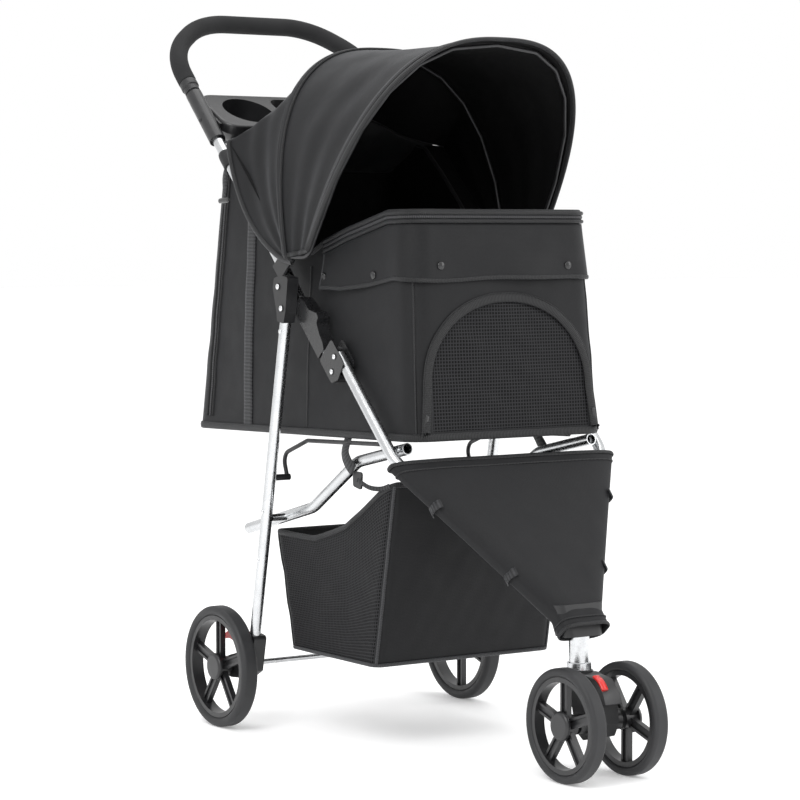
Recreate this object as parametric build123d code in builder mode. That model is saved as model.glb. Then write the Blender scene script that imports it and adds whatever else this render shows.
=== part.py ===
from build123d import *
import os
from math import sin, cos, radians, sqrt, pi

os.makedirs("parts", exist_ok=True)

# ---------------------------------------------------------------- driving dimensions (mm)
Y0 = -96.4            # wheelbase midpoint, measured from the origin along Y
WB = 607.7             # wheelbase
REAR_R, REAR_W, REAR_X = 87.2, 24.8, 212.2
FRONT_R, FRONT_W, FRONT_X = 75.0, 22.0, 50.2
TUBE_R, TUBE_WALL = 8.0, 1.2
SIDE_X = 172.5         # handle and front leg plane
BRACE_X = 153.8        # S-tube plane
REAR_X_LEG = 191.3     # rear leg plane
N_LEG, N_HANDLE = 352.5, 333.4   # offsets of the two parallel 45 degree tube lines
P1 = (44.0, 542.5)     # fold pivot (y, z), y from the wheelbase midpoint
P2 = (160.0, 636.0)    # rear leg to handle pivot
P3 = (209.0, 308.0)    # brace to rear leg pivot
P4 = (-77.0, 421.0)    # brace to front leg pivot
HUB = (150.0, 677.0)   # canopy pivot
STEM_Y = -266.0        # swivel axis
CLOTH = 2.6            # cloth panel thickness
R2 = sqrt(2.0)


def V(x, y, z):
    return (x, y + Y0, z)


def UN(x, u, n):
    return (x, (u - n) / R2 + Y0, (u + n) / R2)


def tube(points, bend, r, ri=0.0):
    with BuildPart() as bp:
        with BuildLine() as path:
            if len(points) > 2:
                FilletPolyline(*points, radius=bend)
            else:
                Line(points[0], points[1])
        with BuildSketch(Plane(origin=path.line @ 0, z_dir=path.line % 0)):
            Circle(r)
            if ri:
                Circle(ri, mode=Mode.SUBTRACT)
        sweep(path=path.line)
    return bp


def side_plane(x):
    # local axes are Y and Z, so sketch points are (y, z) in the row frame
    return Plane(origin=(x, 0, 0), x_dir=(0, 1, 0), z_dir=(1, 0, 0))


def yz(pts):
    return [(p[0] + Y0, p[1]) for p in pts]


def un(pts):
    return [((u - n) / R2 + Y0, (u + n) / R2) for (u, n) in pts]


def slab(x0, x1, pts):
    with BuildPart() as bp:
        with BuildSketch(side_plane(x0)):
            Polygon(*pts, align=None)
        extrude(amount=x1 - x0)
    return bp


def flip(src):
    with BuildPart() as bp:
        add(mirror(src.part, about=Plane.YZ))
    return bp


def both(src):
    with BuildPart() as bp:
        add(src.part)
        add(mirror(src.part, about=Plane.YZ))
    return bp


# ---------------------------------------------------------------- front frame
LEG_BEND = V(-SIDE_X, -90.0, 408.5)
LEG_END = V(-22.0, -259.0, 211.0)
front_leg_right = tube([UN(-SIDE_X, 417.5, N_LEG), LEG_BEND, LEG_END], 55, TUBE_R, TUBE_R - TUBE_WALL)
front_leg_left = flip(front_leg_right)

dx, dy, dz = (LEG_END[0] - LEG_BEND[0], LEG_END[1] - LEG_BEND[1], LEG_END[2] - LEG_BEND[2])
with BuildPart() as leg_joiner:
    with BuildSketch(Plane.XY.offset(184.0)):
        with Locations((0, STEM_Y + Y0 + 1)):
            RectangleRounded(62, 34, 12)
    with BuildSketch(Plane.XY.offset(226.0)):
        with Locations((0, STEM_Y + Y0 + 10)):
            RectangleRounded(80, 32, 12)
    loft()
    for sx in (1, -1):
        with BuildSketch(Plane(origin=(sx * LEG_END[0], LEG_END[1], LEG_END[2]), z_dir=(-sx * dx, -dy, -dz))):
            Circle(TUBE_R + 0.05)
        extrude(amount=80, mode=Mode.SUBTRACT)

with BuildPart() as stem:
    with BuildSketch(Plane.XY.offset(139.5)):
        with Locations((0, STEM_Y + Y0)):
            Circle(13.5)
    extrude(amount=44.4)
    with BuildSketch(Plane.XY.offset(139.5)):
        with Locations((0, STEM_Y + Y0)):
            Circle(16.5)
    extrude(amount=9)
    with BuildSketch(Plane.XY.offset(139.5)):
        with Locations((0, STEM_Y + Y0)):
            Circle(6.06)
    extrude(amount=38, mode=Mode.SUBTRACT)

# apron: flat sleeve around both legs, tapering to the stem
apt, apb = V(0, -97.0, 400.3), V(0, -246.0, 226.0)


def ap_plane(o):
    return Plane(origin=o, x_dir=(1, 0, 0), z_dir=(0, dy, dz))


with BuildPart() as apron:
    with BuildSketch(ap_plane(apt)):
        RectangleRounded(372, 24.5, 11.5)
    with BuildSketch(ap_plane(apb)):
        RectangleRounded(102, 30, 13)
    loft()
    with BuildSketch(ap_plane(apt)):
        RectangleRounded(367, 19.5, 9)
    with BuildSketch(ap_plane(apb)):
        RectangleRounded(97, 25, 10.5)
    loft(mode=Mode.SUBTRACT)

# ---------------------------------------------------------------- latch housings and sleeves (handle side)
with BuildPart() as latch_housing_right:
    with BuildSketch(side_plane(-182.0)):
        Polygon(*un([(437, 364), (437, 321.3), (394, 321.3), (386, 337), (393, 364)]), align=None)
    extrude(amount=19.2)
    fillet(latch_housing_right.edges().filter_by(Axis.X), 5)
    with BuildSketch(side_plane(-180.8)):
        Polygon(*un([(490, 420), (490, 343.6), (340, 343.6), (340, 420)]), align=None)
    extrude(amount=16.6, mode=Mode.SUBTRACT)
    with BuildSketch(Plane(origin=UN(-SIDE_X, 398, N_HANDLE), z_dir=(0, 1, 1))):
        Circle(TUBE_R + 0.05)
    extrude(amount=80, mode=Mode.SUBTRACT)
    for (u, n) in ((414.7, 352.5), (404.5, 333.4)):
        with BuildSketch(Plane(origin=UN(-182.0, u, n), x_dir=(0, 1, 0), z_dir=(-1, 0, 0))):
            Circle(4.6)
        extrude(amount=0.9)
latch_housing_left = flip(latch_housing_right)

with BuildPart() as latch_sleeve_right:
    with BuildSketch(side_plane(-182.2)):
        Polygon(*un([(440.5, 321.0), (532, 321.0), (534, 346), (520, 350), (505, 350.5), (488, 361.5), (481, 360.5),
                     (478, 352), (462, 346.5), (449, 344.5), (440.5, 340)]), align=None)
    extrude(amount=19.4)
    fillet(latch_sleeve_right.edges().filter_by(Axis.X), 1.6)
    with BuildSketch(Plane(origin=UN(-SIDE_X, 430, N_HANDLE), z_dir=(0, 1, 1))):
        Circle(TUBE_R + 0.08)
    extrude(amount=130, mode=Mode.SUBTRACT)
latch_sleeve_left = flip(latch_sleeve_right)

# ---------------------------------------------------------------- handle
U_END, DEPTH = 1004.0, 119.0


def handle_path(u0):
    return [UN(-SIDE_X, u0, N_HANDLE), UN(-SIDE_X, U_END + 48, N_HANDLE), UN(-96, U_END + DEPTH, N_HANDLE),
            UN(96, U_END + DEPTH, N_HANDLE), UN(SIDE_X, U_END + 48, N_HANDLE), UN(SIDE_X, u0, N_HANDLE)]


handle_tube = tube(handle_path(399.0), 112, TUBE_R, TUBE_R - TUBE_WALL)
with BuildPart() as foam_grip:
    with BuildLine() as fpath:
        FilletPolyline(*handle_path(985.0), radius=112)
    with BuildSketch(Plane(origin=fpath.line @ 0, z_dir=fpath.line % 0)):
        Circle(13.5)
        Circle(TUBE_R + 0.1, mode=Mode.SUBTRACT)
    sweep(path=fpath.line)
with BuildPart() as grip_collars:
    for s in (-1, 1):
        with BuildSketch(Plane(origin=UN(s * SIDE_X, 963.5, N_HANDLE), z_dir=(0, 1, 1))):
            Circle(11.5)
            Circle(TUBE_R + 0.1, mode=Mode.SUBTRACT)
        extrude(amount=10)
        with BuildSketch(Plane(origin=UN(s * SIDE_X, 973.5, N_HANDLE), z_dir=(0, 1, 1))):
            Circle(13.2)
            Circle(TUBE_R + 0.1, mode=Mode.SUBTRACT)
        extrude(amount=11)

# cup tray: tilted plate between the tubes, two cup wells, a shallow middle dish and clamp sleeves
TILT = radians(28)
TRAY = V(0, 412.0, 892.0)
tray_plane = Plane(origin=TRAY, x_dir=(1, 0, 0), z_dir=(0, -sin(TILT), cos(TILT)))
CUP_X = 98.0
with BuildPart() as cup_tray:
    with BuildSketch(tray_plane):
        RectangleRounded(322, 108, 26)
    extrude(amount=-16)
    fillet(cup_tray.edges().group_by(Axis((0, 0, 0), (0, -sin(TILT), cos(TILT))))[-1], 4)
    with BuildSketch(tray_plane.offset(-4)):
        RectangleRounded(315, 101, 22.5)
    extrude(amount=-30, mode=Mode.SUBTRACT)
    with BuildSketch(tray_plane.offset(-1)):
        with Locations((-CUP_X, 0), (CUP_X, 0)):
            Circle(42)
    extrude(amount=-44)
    with BuildSketch(tray_plane.offset(-1)):
        RectangleRounded(94, 88, 18)
    extrude(amount=-15)
    with BuildSketch(tray_plane.offset(5)):
        with Locations((-CUP_X, 0), (CUP_X, 0)):
            Circle(39.5)
    extrude(amount=-46, mode=Mode.SUBTRACT)
    with BuildSketch(tray_plane.offset(5)):
        RectangleRounded(88, 82, 16)
    extrude(amount=-18, mode=Mode.SUBTRACT)
    for s in (-1, 1):
        with BuildSketch(Plane(origin=UN(s * SIDE_X, 862, N_HANDLE), z_dir=(0, 1, 1))):
            Circle(12)
        extrude(amount=98)
        with BuildSketch(tray_plane.offset(-4)):
            with Locations((s * 158, 4)):
                Rectangle(14, 84)
        extrude(amount=-12)
    for s in (-1, 1):
        with BuildSketch(Plane(origin=UN(s * SIDE_X, 840, N_HANDLE), z_dir=(0, 1, 1))):
            Circle(TUBE_R + 0.1)
        extrude(amount=140, mode=Mode.SUBTRACT)

# ---------------------------------------------------------------- brace (S-tubes), floor rods
SB = [V(-BRACE_X, 320, 282), V(-BRACE_X, 143, 327), V(-BRACE_X, 28, 399), V(-BRACE_X, -92.6, 424.2)]
with BuildPart() as brace_right:
    with BuildLine() as sb:
        FilletPolyline(*SB, radius=55)
    with BuildSketch(Plane(origin=sb.line @ 0, z_dir=sb.line % 0)):
        Circle(TUBE_R)
        Circle(TUBE_R - TUBE_WALL, mode=Mode.SUBTRACT)
    sweep(path=sb.line)
    # pivot spacers towards the front leg and the rear leg
    with BuildSketch(side_plane(-164.1)):
        with Locations((P4[0] + Y0, P4[1])):
            Circle(6)
    extrude(amount=5.0)
    with BuildSketch(side_plane(-183.0)):
        with Locations((P3[0] + Y0, P3[1] + 0.5)):
            Circle(5)
    extrude(amount=24.0)
brace_left = flip(brace_right)

FR = [V(-159.2, 205, 366), V(-159.2, 216, 397), V(-159.2, 150, 420.5), V(-159.2, -35, 427)]
with BuildPart() as floor_rod_right:
    with BuildLine() as fr:
        FilletPolyline(*FR, radius=16)
    with BuildSketch(Plane(origin=fr.line @ 0, z_dir=fr.line % 0)):
        Circle(3)
    sweep(path=fr.line)
    with BuildSketch(side_plane(-183.0)):
        with Locations((201 + Y0, 366)):
            Circle(4.5)
    extrude(amount=25.0)
floor_rod_left = flip(floor_rod_right)

# ---------------------------------------------------------------- basket (hangs under the brace)


def frustum(low, high, inset):
    # low and high are (z, y0, y1, half_x, corner)
    with BuildPart() as bp:
        for z, ya, yb, hx, c in (low, high):
            with BuildSketch(Plane.XY.offset(z)):
                with Locations((0, (ya + yb) / 2 + Y0)):
                    RectangleRounded(2 * (hx - inset), (yb - ya) - 2 * inset, max(c - inset, 1.0))
        loft()
    return bp


BK_LOW = (119.0, -4.0, 214.0, 147.6, 14)
BK_HIGH = (389.0, -57.0, 281.0, 149.5, 14)
bk_out, bk_in = frustum(BK_LOW, BK_HIGH, 0), frustum(BK_LOW, BK_HIGH, 2.4)
BK_TOP = yz([(-90, 373.5), (-52, 373.5), (-20, 361), (24, 335), (68, 311), (106, 300), (150, 288), (262, 283.5), (330, 283.5),
             (330, 80), (-90, 80)])
with BuildPart() as bk_wall:
    with BuildSketch(side_plane(-220)):
        Polygon(*BK_TOP, align=None)
    extrude(amount=440)
    add(bk_out.part, mode=Mode.INTERSECT)
    add(bk_in.part, mode=Mode.SUBTRACT)


def cut(src, x0, x1, y0, y1, z0, z1):
    with BuildPart() as bp:
        add(src.part)
        with BuildSketch(Plane.XY.offset(z0)):
            with Locations(((x0 + x1) / 2, (y0 + y1) / 2 + Y0)):
                Rectangle(x1 - x0, y1 - y0)
        extrude(amount=z1 - z0, mode=Mode.INTERSECT)
    return bp


def prism_cut(src, pts, mode=Mode.INTERSECT):
    with BuildPart() as bp:
        add(src.part)
        with BuildSketch(side_plane(-300)):
            Polygon(*pts, align=None)
        extrude(amount=600, mode=mode)
    return bp


BK_SPLIT_F = yz([(-200, 110), (14, 110), (-42, 400), (-200, 400)])
BK_SPLIT_R = yz([(196, 110), (400, 110), (400, 400), (266, 400)])
basket_front = prism_cut(bk_wall, BK_SPLIT_F)
basket_rear = prism_cut(bk_wall, BK_SPLIT_R)
BK_MID = yz([(14.3, 110), (195.7, 110), (265.7, 400), (-41.7, 400)])
bk_mid = prism_cut(bk_wall, BK_MID)
basket_side_right = cut(bk_mid, -200, 0, -200, 400, 100, 420)
basket_side_left = flip(basket_side_right)
with BuildPart() as basket_bottom:
    with BuildSketch(Plane.XY.offset(121.5)):
        with Locations((0, 105 + Y0)):
            RectangleRounded(2 * 144.6, 210, 10)
    extrude(amount=2.4)

# ---------------------------------------------------------------- cabin
CB_LOW = (420.0, -118.0, 470.0, 158.9, 30)
CB_HIGH = (830.0, -82.0, 418.0, 145.5, 30)
cb_out, cb_in = frustum(CB_LOW, CB_HIGH, 0), frustum(CB_LOW, CB_HIGH, CLOTH)
CB_PROFILE = yz([(-140, 438.2), (500, 423.5), (500, 800), (430, 806), (396, 812), (362, 826), (345, 846), (305, 838), (262, 800),
                 (215, 752), (172, 700), (150, 684), (117, 700), (60, 716), (-40, 739), (-140, 740)])
with BuildPart() as cb_wall:
    with BuildSketch(side_plane(-260)):
        Polygon(*CB_PROFILE, align=None)
    extrude(amount=520)
    add(cb_out.part, mode=Mode.INTERSECT)
    add(cb_in.part, mode=Mode.SUBTRACT)
CB_F = yz([(-300, 400), (-78, 400), (-46, 800), (-300, 800)])
CB_R = yz([(425, 400), (620, 400), (620, 850), (385, 850)])
CB_M = yz([(-77.7, 400), (424.7, 400), (384.7, 850), (-41.7, 850)])
cb_front = prism_cut(cb_wall, CB_F)
cabin_rear = prism_cut(cb_wall, CB_R)
cb_mid = prism_cut(cb_wall, CB_M)
cabin_side_right = cut(cb_mid, -260, 0, -300, 700, 380, 900)
cabin_side_left = flip(cabin_side_right)


def arch(pad):
    # arched window outline on the front panel, (x, z)
    with BuildSketch(Plane(origin=V(0, -60, 0), x_dir=(1, 0, 0), z_dir=(0, -1, 0))) as sk:
        with BuildLine():
            b, t, h = 447.0 - pad, 622.0 + pad, 139.0 + pad
            s = 500.0
            l1 = Line((-h, b), (h, b))
            l2 = Line((h, b), (h - 6, s))
            a1 = Spline((h - 6, s), (0.62 * h, t - 26), (0, t), (-0.62 * h, t - 26), (-h + 6, s),
                        tangents=((-0.1, 1), (-0.1, -1)))
            l3 = Line((-h + 6, s), (-h, b))
        make_face()
    return sk


with BuildPart() as cabin_front:
    add(cb_front.part)
    add(arch(0).sketch)
    extrude(amount=90, dir=(0, -1, 0), mode=Mode.SUBTRACT)
with BuildPart() as window_mesh:
    add(cb_front.part)
    add(arch(-0.3).sketch)
    extrude(amount=90, dir=(0, -1, 0), mode=Mode.INTERSECT)

with BuildPart() as cabin_floor:
    with BuildSketch(side_plane(-260)):
        Polygon(*yz([(-111.5, 438.3), (460, 424.1), (460, 427.1), (-111.5, 441.3)]), align=None)
    extrude(amount=520)
    add(frustum(CB_LOW, CB_HIGH, CLOTH + 0.6).part, mode=Mode.INTERSECT)
with BuildPart() as floor_mat:
    with BuildSketch(side_plane(-260)):
        Polygon(*yz([(-104, 441.7), (448, 427.8), (448, 435.8), (-104, 449.7)]), align=None)
    extrude(amount=520)
    add(frustum(CB_LOW, CB_HIGH, CLOTH + 8).part, mode=Mode.INTERSECT)

# rim: bound double piping around the front of the opening
RIM_IN, RIM_OUT = frustum(CB_LOW, CB_HIGH, -0.4), frustum(CB_LOW, CB_HIGH, -5.6)
with BuildPart() as cabin_rim:
    with BuildSketch(side_plane(-260)):
        Polygon(*yz([(-140, 724), (-44, 722), (56, 699), (112, 683), (121, 700), (62, 717), (-40, 740.5), (-140, 742)]), align=None)
    extrude(amount=520)
    add(RIM_OUT.part, mode=Mode.INTERSECT)
    add(RIM_IN.part, mode=Mode.SUBTRACT)
with BuildPart() as rim_flap:
    with BuildSketch(side_plane(-260)):
        Polygon(*yz([(-140, 648), (-60, 650), (0, 640), (60, 632), (118, 634), (118, 680.5), (56, 698), (-44, 721.5), (-140, 723.5)]),
                align=None)
    extrude(amount=520)
    add(frustum(CB_LOW, CB_HIGH, -3.4).part, mode=Mode.INTERSECT)
    add(frustum(CB_LOW, CB_HIGH, -0.5).part, mode=Mode.SUBTRACT)

# ---------------------------------------------------------------- canopy


def hoop_plane(y, phi):
    a = radians(phi)
    return Plane(origin=V(0, y, HUB[1]), x_dir=(1, 0, 0), z_dir=(0, -sin(a), cos(a)))


def hoop(half, height, s0, n, m):
    out = []
    for i in range(n + 1):
        t = pi * i / n
        c, s = cos(t), abs(sin(t))
        x = -half * (abs(c) ** (2 / m)) * (1 if c >= 0 else -1)
        out.append((x, s0 + (height - s0) * (s ** (2 / m))))
    return out


def place(pl, pts):
    return [tuple(pl.from_local_coords(Vector(x, y, 0))) for (x, y) in pts]


FRONT_BASE, FRONT_PHI, FRONT_HALF, FRONT_H = 98.0, 121.9, 189.5, 337.0
MID_PHI, MID_HALF, MID_H = 78.4, 184.4, 294.0
front_pts = place(hoop_plane(FRONT_BASE, FRONT_PHI), hoop(FRONT_HALF, FRONT_H, 0, 12, 2.7))
bow_wire = tube([V(-FRONT_HALF, *HUB)] + front_pts + [V(FRONT_HALF, *HUB)], 24, 2.6)
with BuildPart() as bow_front:
    add(bow_wire.part)
    for s in (-1, 1):
        with BuildSketch(side_plane(s * FRONT_HALF - 2.2)):
            with Locations((HUB[0] + Y0, HUB[1])):
                Circle(7)
        extrude(amount=4.4)
bow_mid = tube(place(hoop_plane(HUB[0], MID_PHI), hoop(MID_HALF, MID_H, 16, 12, 2.5)), 24, 2.6)

# canopy cloth: one shell over both bows, from the edge along the handle tubes to the front edge
REAR_PHI, REAR_SIDE = 45.0, 233.0
REAR_ARCH = [(190.0, 233.0), (176.0, 238.0), (152.0, 244.0), (121.0, 257.0), (98.0, 279.0), (66.0, 302.0), (34.0, 312.0), (0.0, 315.0)]
SECTIONS = [(150.0, 78.4, 195.5, 303.0), (98.0, 123.5, 195.0, 352.0)]


def rear_edge(inset):
    # up the handle tube on each side, then arched across; as many points as the hoops have
    half = []
    for k in range(8):
        s = 27 + (REAR_SIDE - inset - 27) * (sin(pi * k / 28) ** (2 / 2.65)) / (sin(pi / 4) ** (2 / 2.65))
        half.append((-(189.2 - inset + 1.6 * sin(pi * k / 8)), s))
    for (x, s) in REAR_ARCH[1:]:
        half.append((-max(x - inset, 0.0), s - inset))
    return half + [(-x, s) for (x, s) in half[-2::-1]]


with BuildPart() as canopy:
    with BuildSketch(hoop_plane(150.0, REAR_PHI)):
        Polygon(*(rear_edge(0.0) + rear_edge(2.2)[::-1]), align=None)
    for base_y, phi, half, height in SECTIONS:
        with BuildSketch(hoop_plane(base_y, phi)):
            o = hoop(half, height, 27, 28, 2.65)
            i = hoop(half - 2.2, height - 2.2, 27, 28, 2.65)
            Polygon(*(o + i[::-1]), align=None)
    loft(ruled=True)

with BuildPart() as canopy_hub_r:
    with BuildSketch(side_plane(-186.6)):
        with Locations((HUB[0] + Y0, HUB[1])):
            Circle(10)
    extrude(amount=2.4)
    with BuildSketch(side_plane(-184.2)):
        Polygon(*un([(585, 327), (612, 327), (606, 374), (581, 374)]), align=None)
    extrude(amount=3.3)
canopy_hubs = both(canopy_hub_r)

# ---------------------------------------------------------------- rear frame


def leg_y(z):
    return 153.6 + 0.1927 * (594.3 - z)


rear_leg_right = tube([V(-REAR_X_LEG, leg_y(643), 643), V(-REAR_X_LEG, leg_y(112), 112)], 0, TUBE_R, TUBE_R - TUBE_WALL)
rear_leg_left = flip(rear_leg_right)
with BuildPart() as leg_bracket_right:
    with BuildSketch(side_plane(-200.6)):
        Polygon(*yz([(134, 649), (152, 652), (171, 648), (174, 634), (164, 600), (163, 588), (146, 585), (141, 600)]), align=None)
    extrude(amount=18.0)
    fillet(leg_bracket_right.edges().filter_by(Axis.X), 4)
    with BuildSketch(Plane(origin=V(-REAR_X_LEG, leg_y(643.1), 643.1), z_dir=(0, 0.1927, -1))):
        Circle(TUBE_R + 0.05)
    extrude(amount=100, mode=Mode.SUBTRACT)
    for (y, z) in (P2, (leg_y(606), 606)):
        with BuildSketch(Plane(origin=V(-200.6, y, z), x_dir=(0, 1, 0), z_dir=(-1, 0, 0))):
            Circle(4.8)
        extrude(amount=1.2)
leg_bracket_left = flip(leg_bracket_right)
AX = (WB / 2, REAR_R)
with BuildPart() as hub_bracket_right:
    with BuildSketch(side_plane(-199.5)):
        Polygon(*yz([(229, 137), (252, 141), (266, 112), (300, 103), (316, 97), (320, 84), (312, 74), (296, 71), (262, 74), (240, 86)]),
                align=None)
    extrude(amount=20)
    fillet(hub_bracket_right.edges().filter_by(Axis.X), 5)
    with BuildSketch(Plane(origin=V(-REAR_X_LEG, leg_y(111.5), 111.5), z_dir=(0, -0.1927, 1))):
        Circle(TUBE_R + 0.05)
    extrude(amount=60, mode=Mode.SUBTRACT)
    with BuildSketch(side_plane(-210)):
        with Locations((AX[0] + Y0, AX[1])):
            Circle(4.05)
    extrude(amount=40, mode=Mode.SUBTRACT)
hub_bracket_left = flip(hub_bracket_right)
with BuildPart() as rear_axle:
    with BuildSketch(side_plane(-221)):
        with Locations((AX[0] + Y0, AX[1])):
            Circle(4)
    extrude(amount=442)

# brake pedals: lever on a short stub beside the wheel
with BuildPart() as brake_right:
    with BuildSketch(side_plane(-196.5)):
        Polygon(*yz([(262, 131), (272, 138), (300, 142), (318, 132), (320, 124), (306, 126), (286, 122), (272, 113)]), align=None)
    extrude(amount=15)
    fillet(brake_right.edges().filter_by(Axis.X), 2.5)
    with BuildSketch(side_plane(-198.4)):
        with Locations((274 + Y0, 124)):
            Circle(3.5)
    extrude(amount=18.8)
brake_left = flip(brake_right)


# ---------------------------------------------------------------- wheels
def wheel(side, xc, yc, zc, r, w, spoke_turn):
    c = V(side * xc, yc, zc)
    ro = 0.845 * r
    with BuildPart() as tyre:
        with BuildSketch(Plane(origin=c, x_dir=(1, 0, 0), z_dir=(0, 1, 0))):
            with Locations((0, -(r + ro) / 2)):
                RectangleRounded(w, r - ro, 0.46 * (r - ro))
        revolve(axis=Axis(c, (1, 0, 0)))
    ri = ro - 6.5
    wi = w - 6
    out = side * 1.0
    base = Plane(origin=(c[0] - out * wi / 2, c[1], c[2]), x_dir=(0, 1, 0), z_dir=(out, 0, 0))
    with BuildPart() as rim:
        with BuildSketch(base):
            Circle(ro - 0.05)
            Circle(ri, mode=Mode.SUBTRACT)
        extrude(amount=wi)
        with BuildSketch(base.offset(wi / 2 - 4)):
            with PolarLocations(0, 5, start_angle=spoke_turn):
                with Locations(((ri + 10) / 2 + 2, 5.2), ((ri + 10) / 2 + 2, -5.2)):
                    Rectangle(ri - 6, 3.4)
        extrude(amount=8)
        with BuildSketch(base.offset(wi / 2 - 1.5)):
            with PolarLocations(0, 5, start_angle=spoke_turn):
                with Locations(((ri + 10) / 2 + 2, 0)):
                    Rectangle(ri - 6, 9)
        extrude(amount=3)
        with BuildSketch(base.offset(-2.6)):
            Circle(14)
        extrude(amount=wi + 3.6)
        with BuildSketch(base.offset(wi - 1)):
            Circle(19.5)
        extrude(amount=5.5)
        fillet(rim.faces().sort_by(Axis(c, (out, 0, 0)))[-1].edges(), 4.5)
        with BuildSketch(base.offset(-6)):
            Circle(4.06)
        extrude(amount=wi + 6.5, mode=Mode.SUBTRACT)
    return tyre, rim


rear_tyre_right, rear_rim_right = wheel(-1, REAR_X, WB / 2, REAR_R, REAR_R, REAR_W, -90)
rear_tyre_left, rear_rim_left = wheel(1, REAR_X, WB / 2, REAR_R, REAR_R, REAR_W, -90)
front_tyre_right, front_rim_right = wheel(-1, FRONT_X, -WB / 2, FRONT_R, FRONT_R, FRONT_W, 54)
front_tyre_left, front_rim_left = wheel(1, FRONT_X, -WB / 2, FRONT_R, FRONT_R, FRONT_W, 54)

# ---------------------------------------------------------------- caster
with BuildPart() as caster_fork:
    with BuildSketch(side_plane(-19)):
        with BuildLine():
            Polyline(*yz([(-249, 122), (-249, 136.5), (-283, 136.5), (-300, 131), (-322, 103), (-327, 75), (-318, 57), (-300, 52),
                          (-284, 62), (-276, 92), (-262, 112)]), close=True)
        make_face()
    extrude(amount=38)
    fillet(caster_fork.edges().filter_by(Axis.X), 4)
    with BuildSketch(Plane.XY.offset(128)):
        with Locations((0, STEM_Y + Y0)):
            Circle(18.5)
    extrude(amount=10.5)
    with BuildSketch(Plane.XY.offset(136)):
        with Locations((0, STEM_Y + Y0)):
            Circle(6)
    extrude(amount=40)
    with BuildSketch(side_plane(-34)):
        with Locations((-WB / 2 + Y0, FRONT_R)):
            Circle(13)
    extrude(amount=68)
    with BuildSketch(side_plane(-40)):
        with Locations((-WB / 2 + Y0, FRONT_R)):
            Circle(4.05)
    extrude(amount=80, mode=Mode.SUBTRACT)
with BuildPart() as front_axle:
    with BuildSketch(side_plane(-58)):
        with Locations((-WB / 2 + Y0, FRONT_R)):
            Circle(4)
    extrude(amount=116)
with BuildPart() as caster_lever:
    with BuildSketch(side_plane(-14)):
        Polygon(*yz([(-301, 131.6), (-297, 136), (-318, 133), (-334, 118), (-340, 103), (-334, 101), (-325, 113), (-313, 126)]), align=None)
    extrude(amount=28)

# ---------------------------------------------------------------- straps and fasteners
with BuildPart() as snaps:
    for sx in (-1, 1):
        with BuildSketch(Plane(origin=V(sx * 103, -100.4, 667), x_dir=(1, 0, 0), z_dir=(0, -1, 0))):
            Circle(5.5)
        extrude(amount=2.6)
        for (y, z) in ((-8.0, 655.0), (106.0, 650.0)):
            with BuildSketch(Plane(origin=V(sx * 155.6, y, z), x_dir=(0, 1, 0), z_dir=(sx, 0, 0))):
                Circle(5.5)
            extrude(amount=2.4)
with BuildPart() as strap_clip_right:
    with BuildSketch(side_plane(-162.3)):
        Polygon(*yz([(6, 386), (29, 387), (28, 366), (8, 362)]), align=None)
    extrude(amount=2.2)
    fillet(strap_clip_right.edges().filter_by(Axis.X), 4)
strap_clip_left = flip(strap_clip_right)

PIECES = {
    "front_leg_right": front_leg_right, "front_leg_left": front_leg_left, "leg_joiner": leg_joiner, "stem": stem,
    "apron": apron, "latch_housing_right": latch_housing_right, "latch_housing_left": latch_housing_left,
    "latch_sleeve_right": latch_sleeve_right, "latch_sleeve_left": latch_sleeve_left, "handle_tube": handle_tube,
    "foam_grip": foam_grip, "grip_collars": grip_collars, "cup_tray": cup_tray, "brace_right": brace_right,
    "brace_left": brace_left, "floor_rod_right": floor_rod_right, "floor_rod_left": floor_rod_left,
    "basket_front": basket_front, "basket_rear": basket_rear, "basket_side_right": basket_side_right,
    "basket_side_left": basket_side_left, "basket_bottom": basket_bottom, "cabin_front": cabin_front,
    "window_mesh": window_mesh, "cabin_rear": cabin_rear, "cabin_side_right": cabin_side_right,
    "cabin_side_left": cabin_side_left, "cabin_floor": cabin_floor, "floor_mat": floor_mat, "cabin_rim": cabin_rim,
    "rim_flap": rim_flap, "bow_front": bow_front, "bow_mid": bow_mid, "canopy": canopy, "canopy_hubs": canopy_hubs,
    "rear_leg_right": rear_leg_right, "rear_leg_left": rear_leg_left, "leg_bracket_right": leg_bracket_right,
    "leg_bracket_left": leg_bracket_left, "hub_bracket_right": hub_bracket_right, "hub_bracket_left": hub_bracket_left,
    "rear_axle": rear_axle, "brake_right": brake_right, "brake_left": brake_left, "rear_tyre_right": rear_tyre_right,
    "rear_rim_right": rear_rim_right, "rear_tyre_left": rear_tyre_left, "rear_rim_left": rear_rim_left,
    "front_tyre_right": front_tyre_right, "front_rim_right": front_rim_right, "front_tyre_left": front_tyre_left,
    "front_rim_left": front_rim_left, "caster_fork": caster_fork, "front_axle": front_axle, "caster_lever": caster_lever,
    "strap_clip_right": strap_clip_right, "strap_clip_left": strap_clip_left,
    "snaps": snaps,
}
for label, piece in PIECES.items():
    piece.part.label = label
    export_step(piece.part, f"parts/{label}.step")
    print(label, len(piece.part.solids()), round(piece.part.volume / 1000, 2))
print(len(PIECES))
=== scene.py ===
import bpy
import math
import numpy as np
from mathutils import Vector, Matrix


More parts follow.
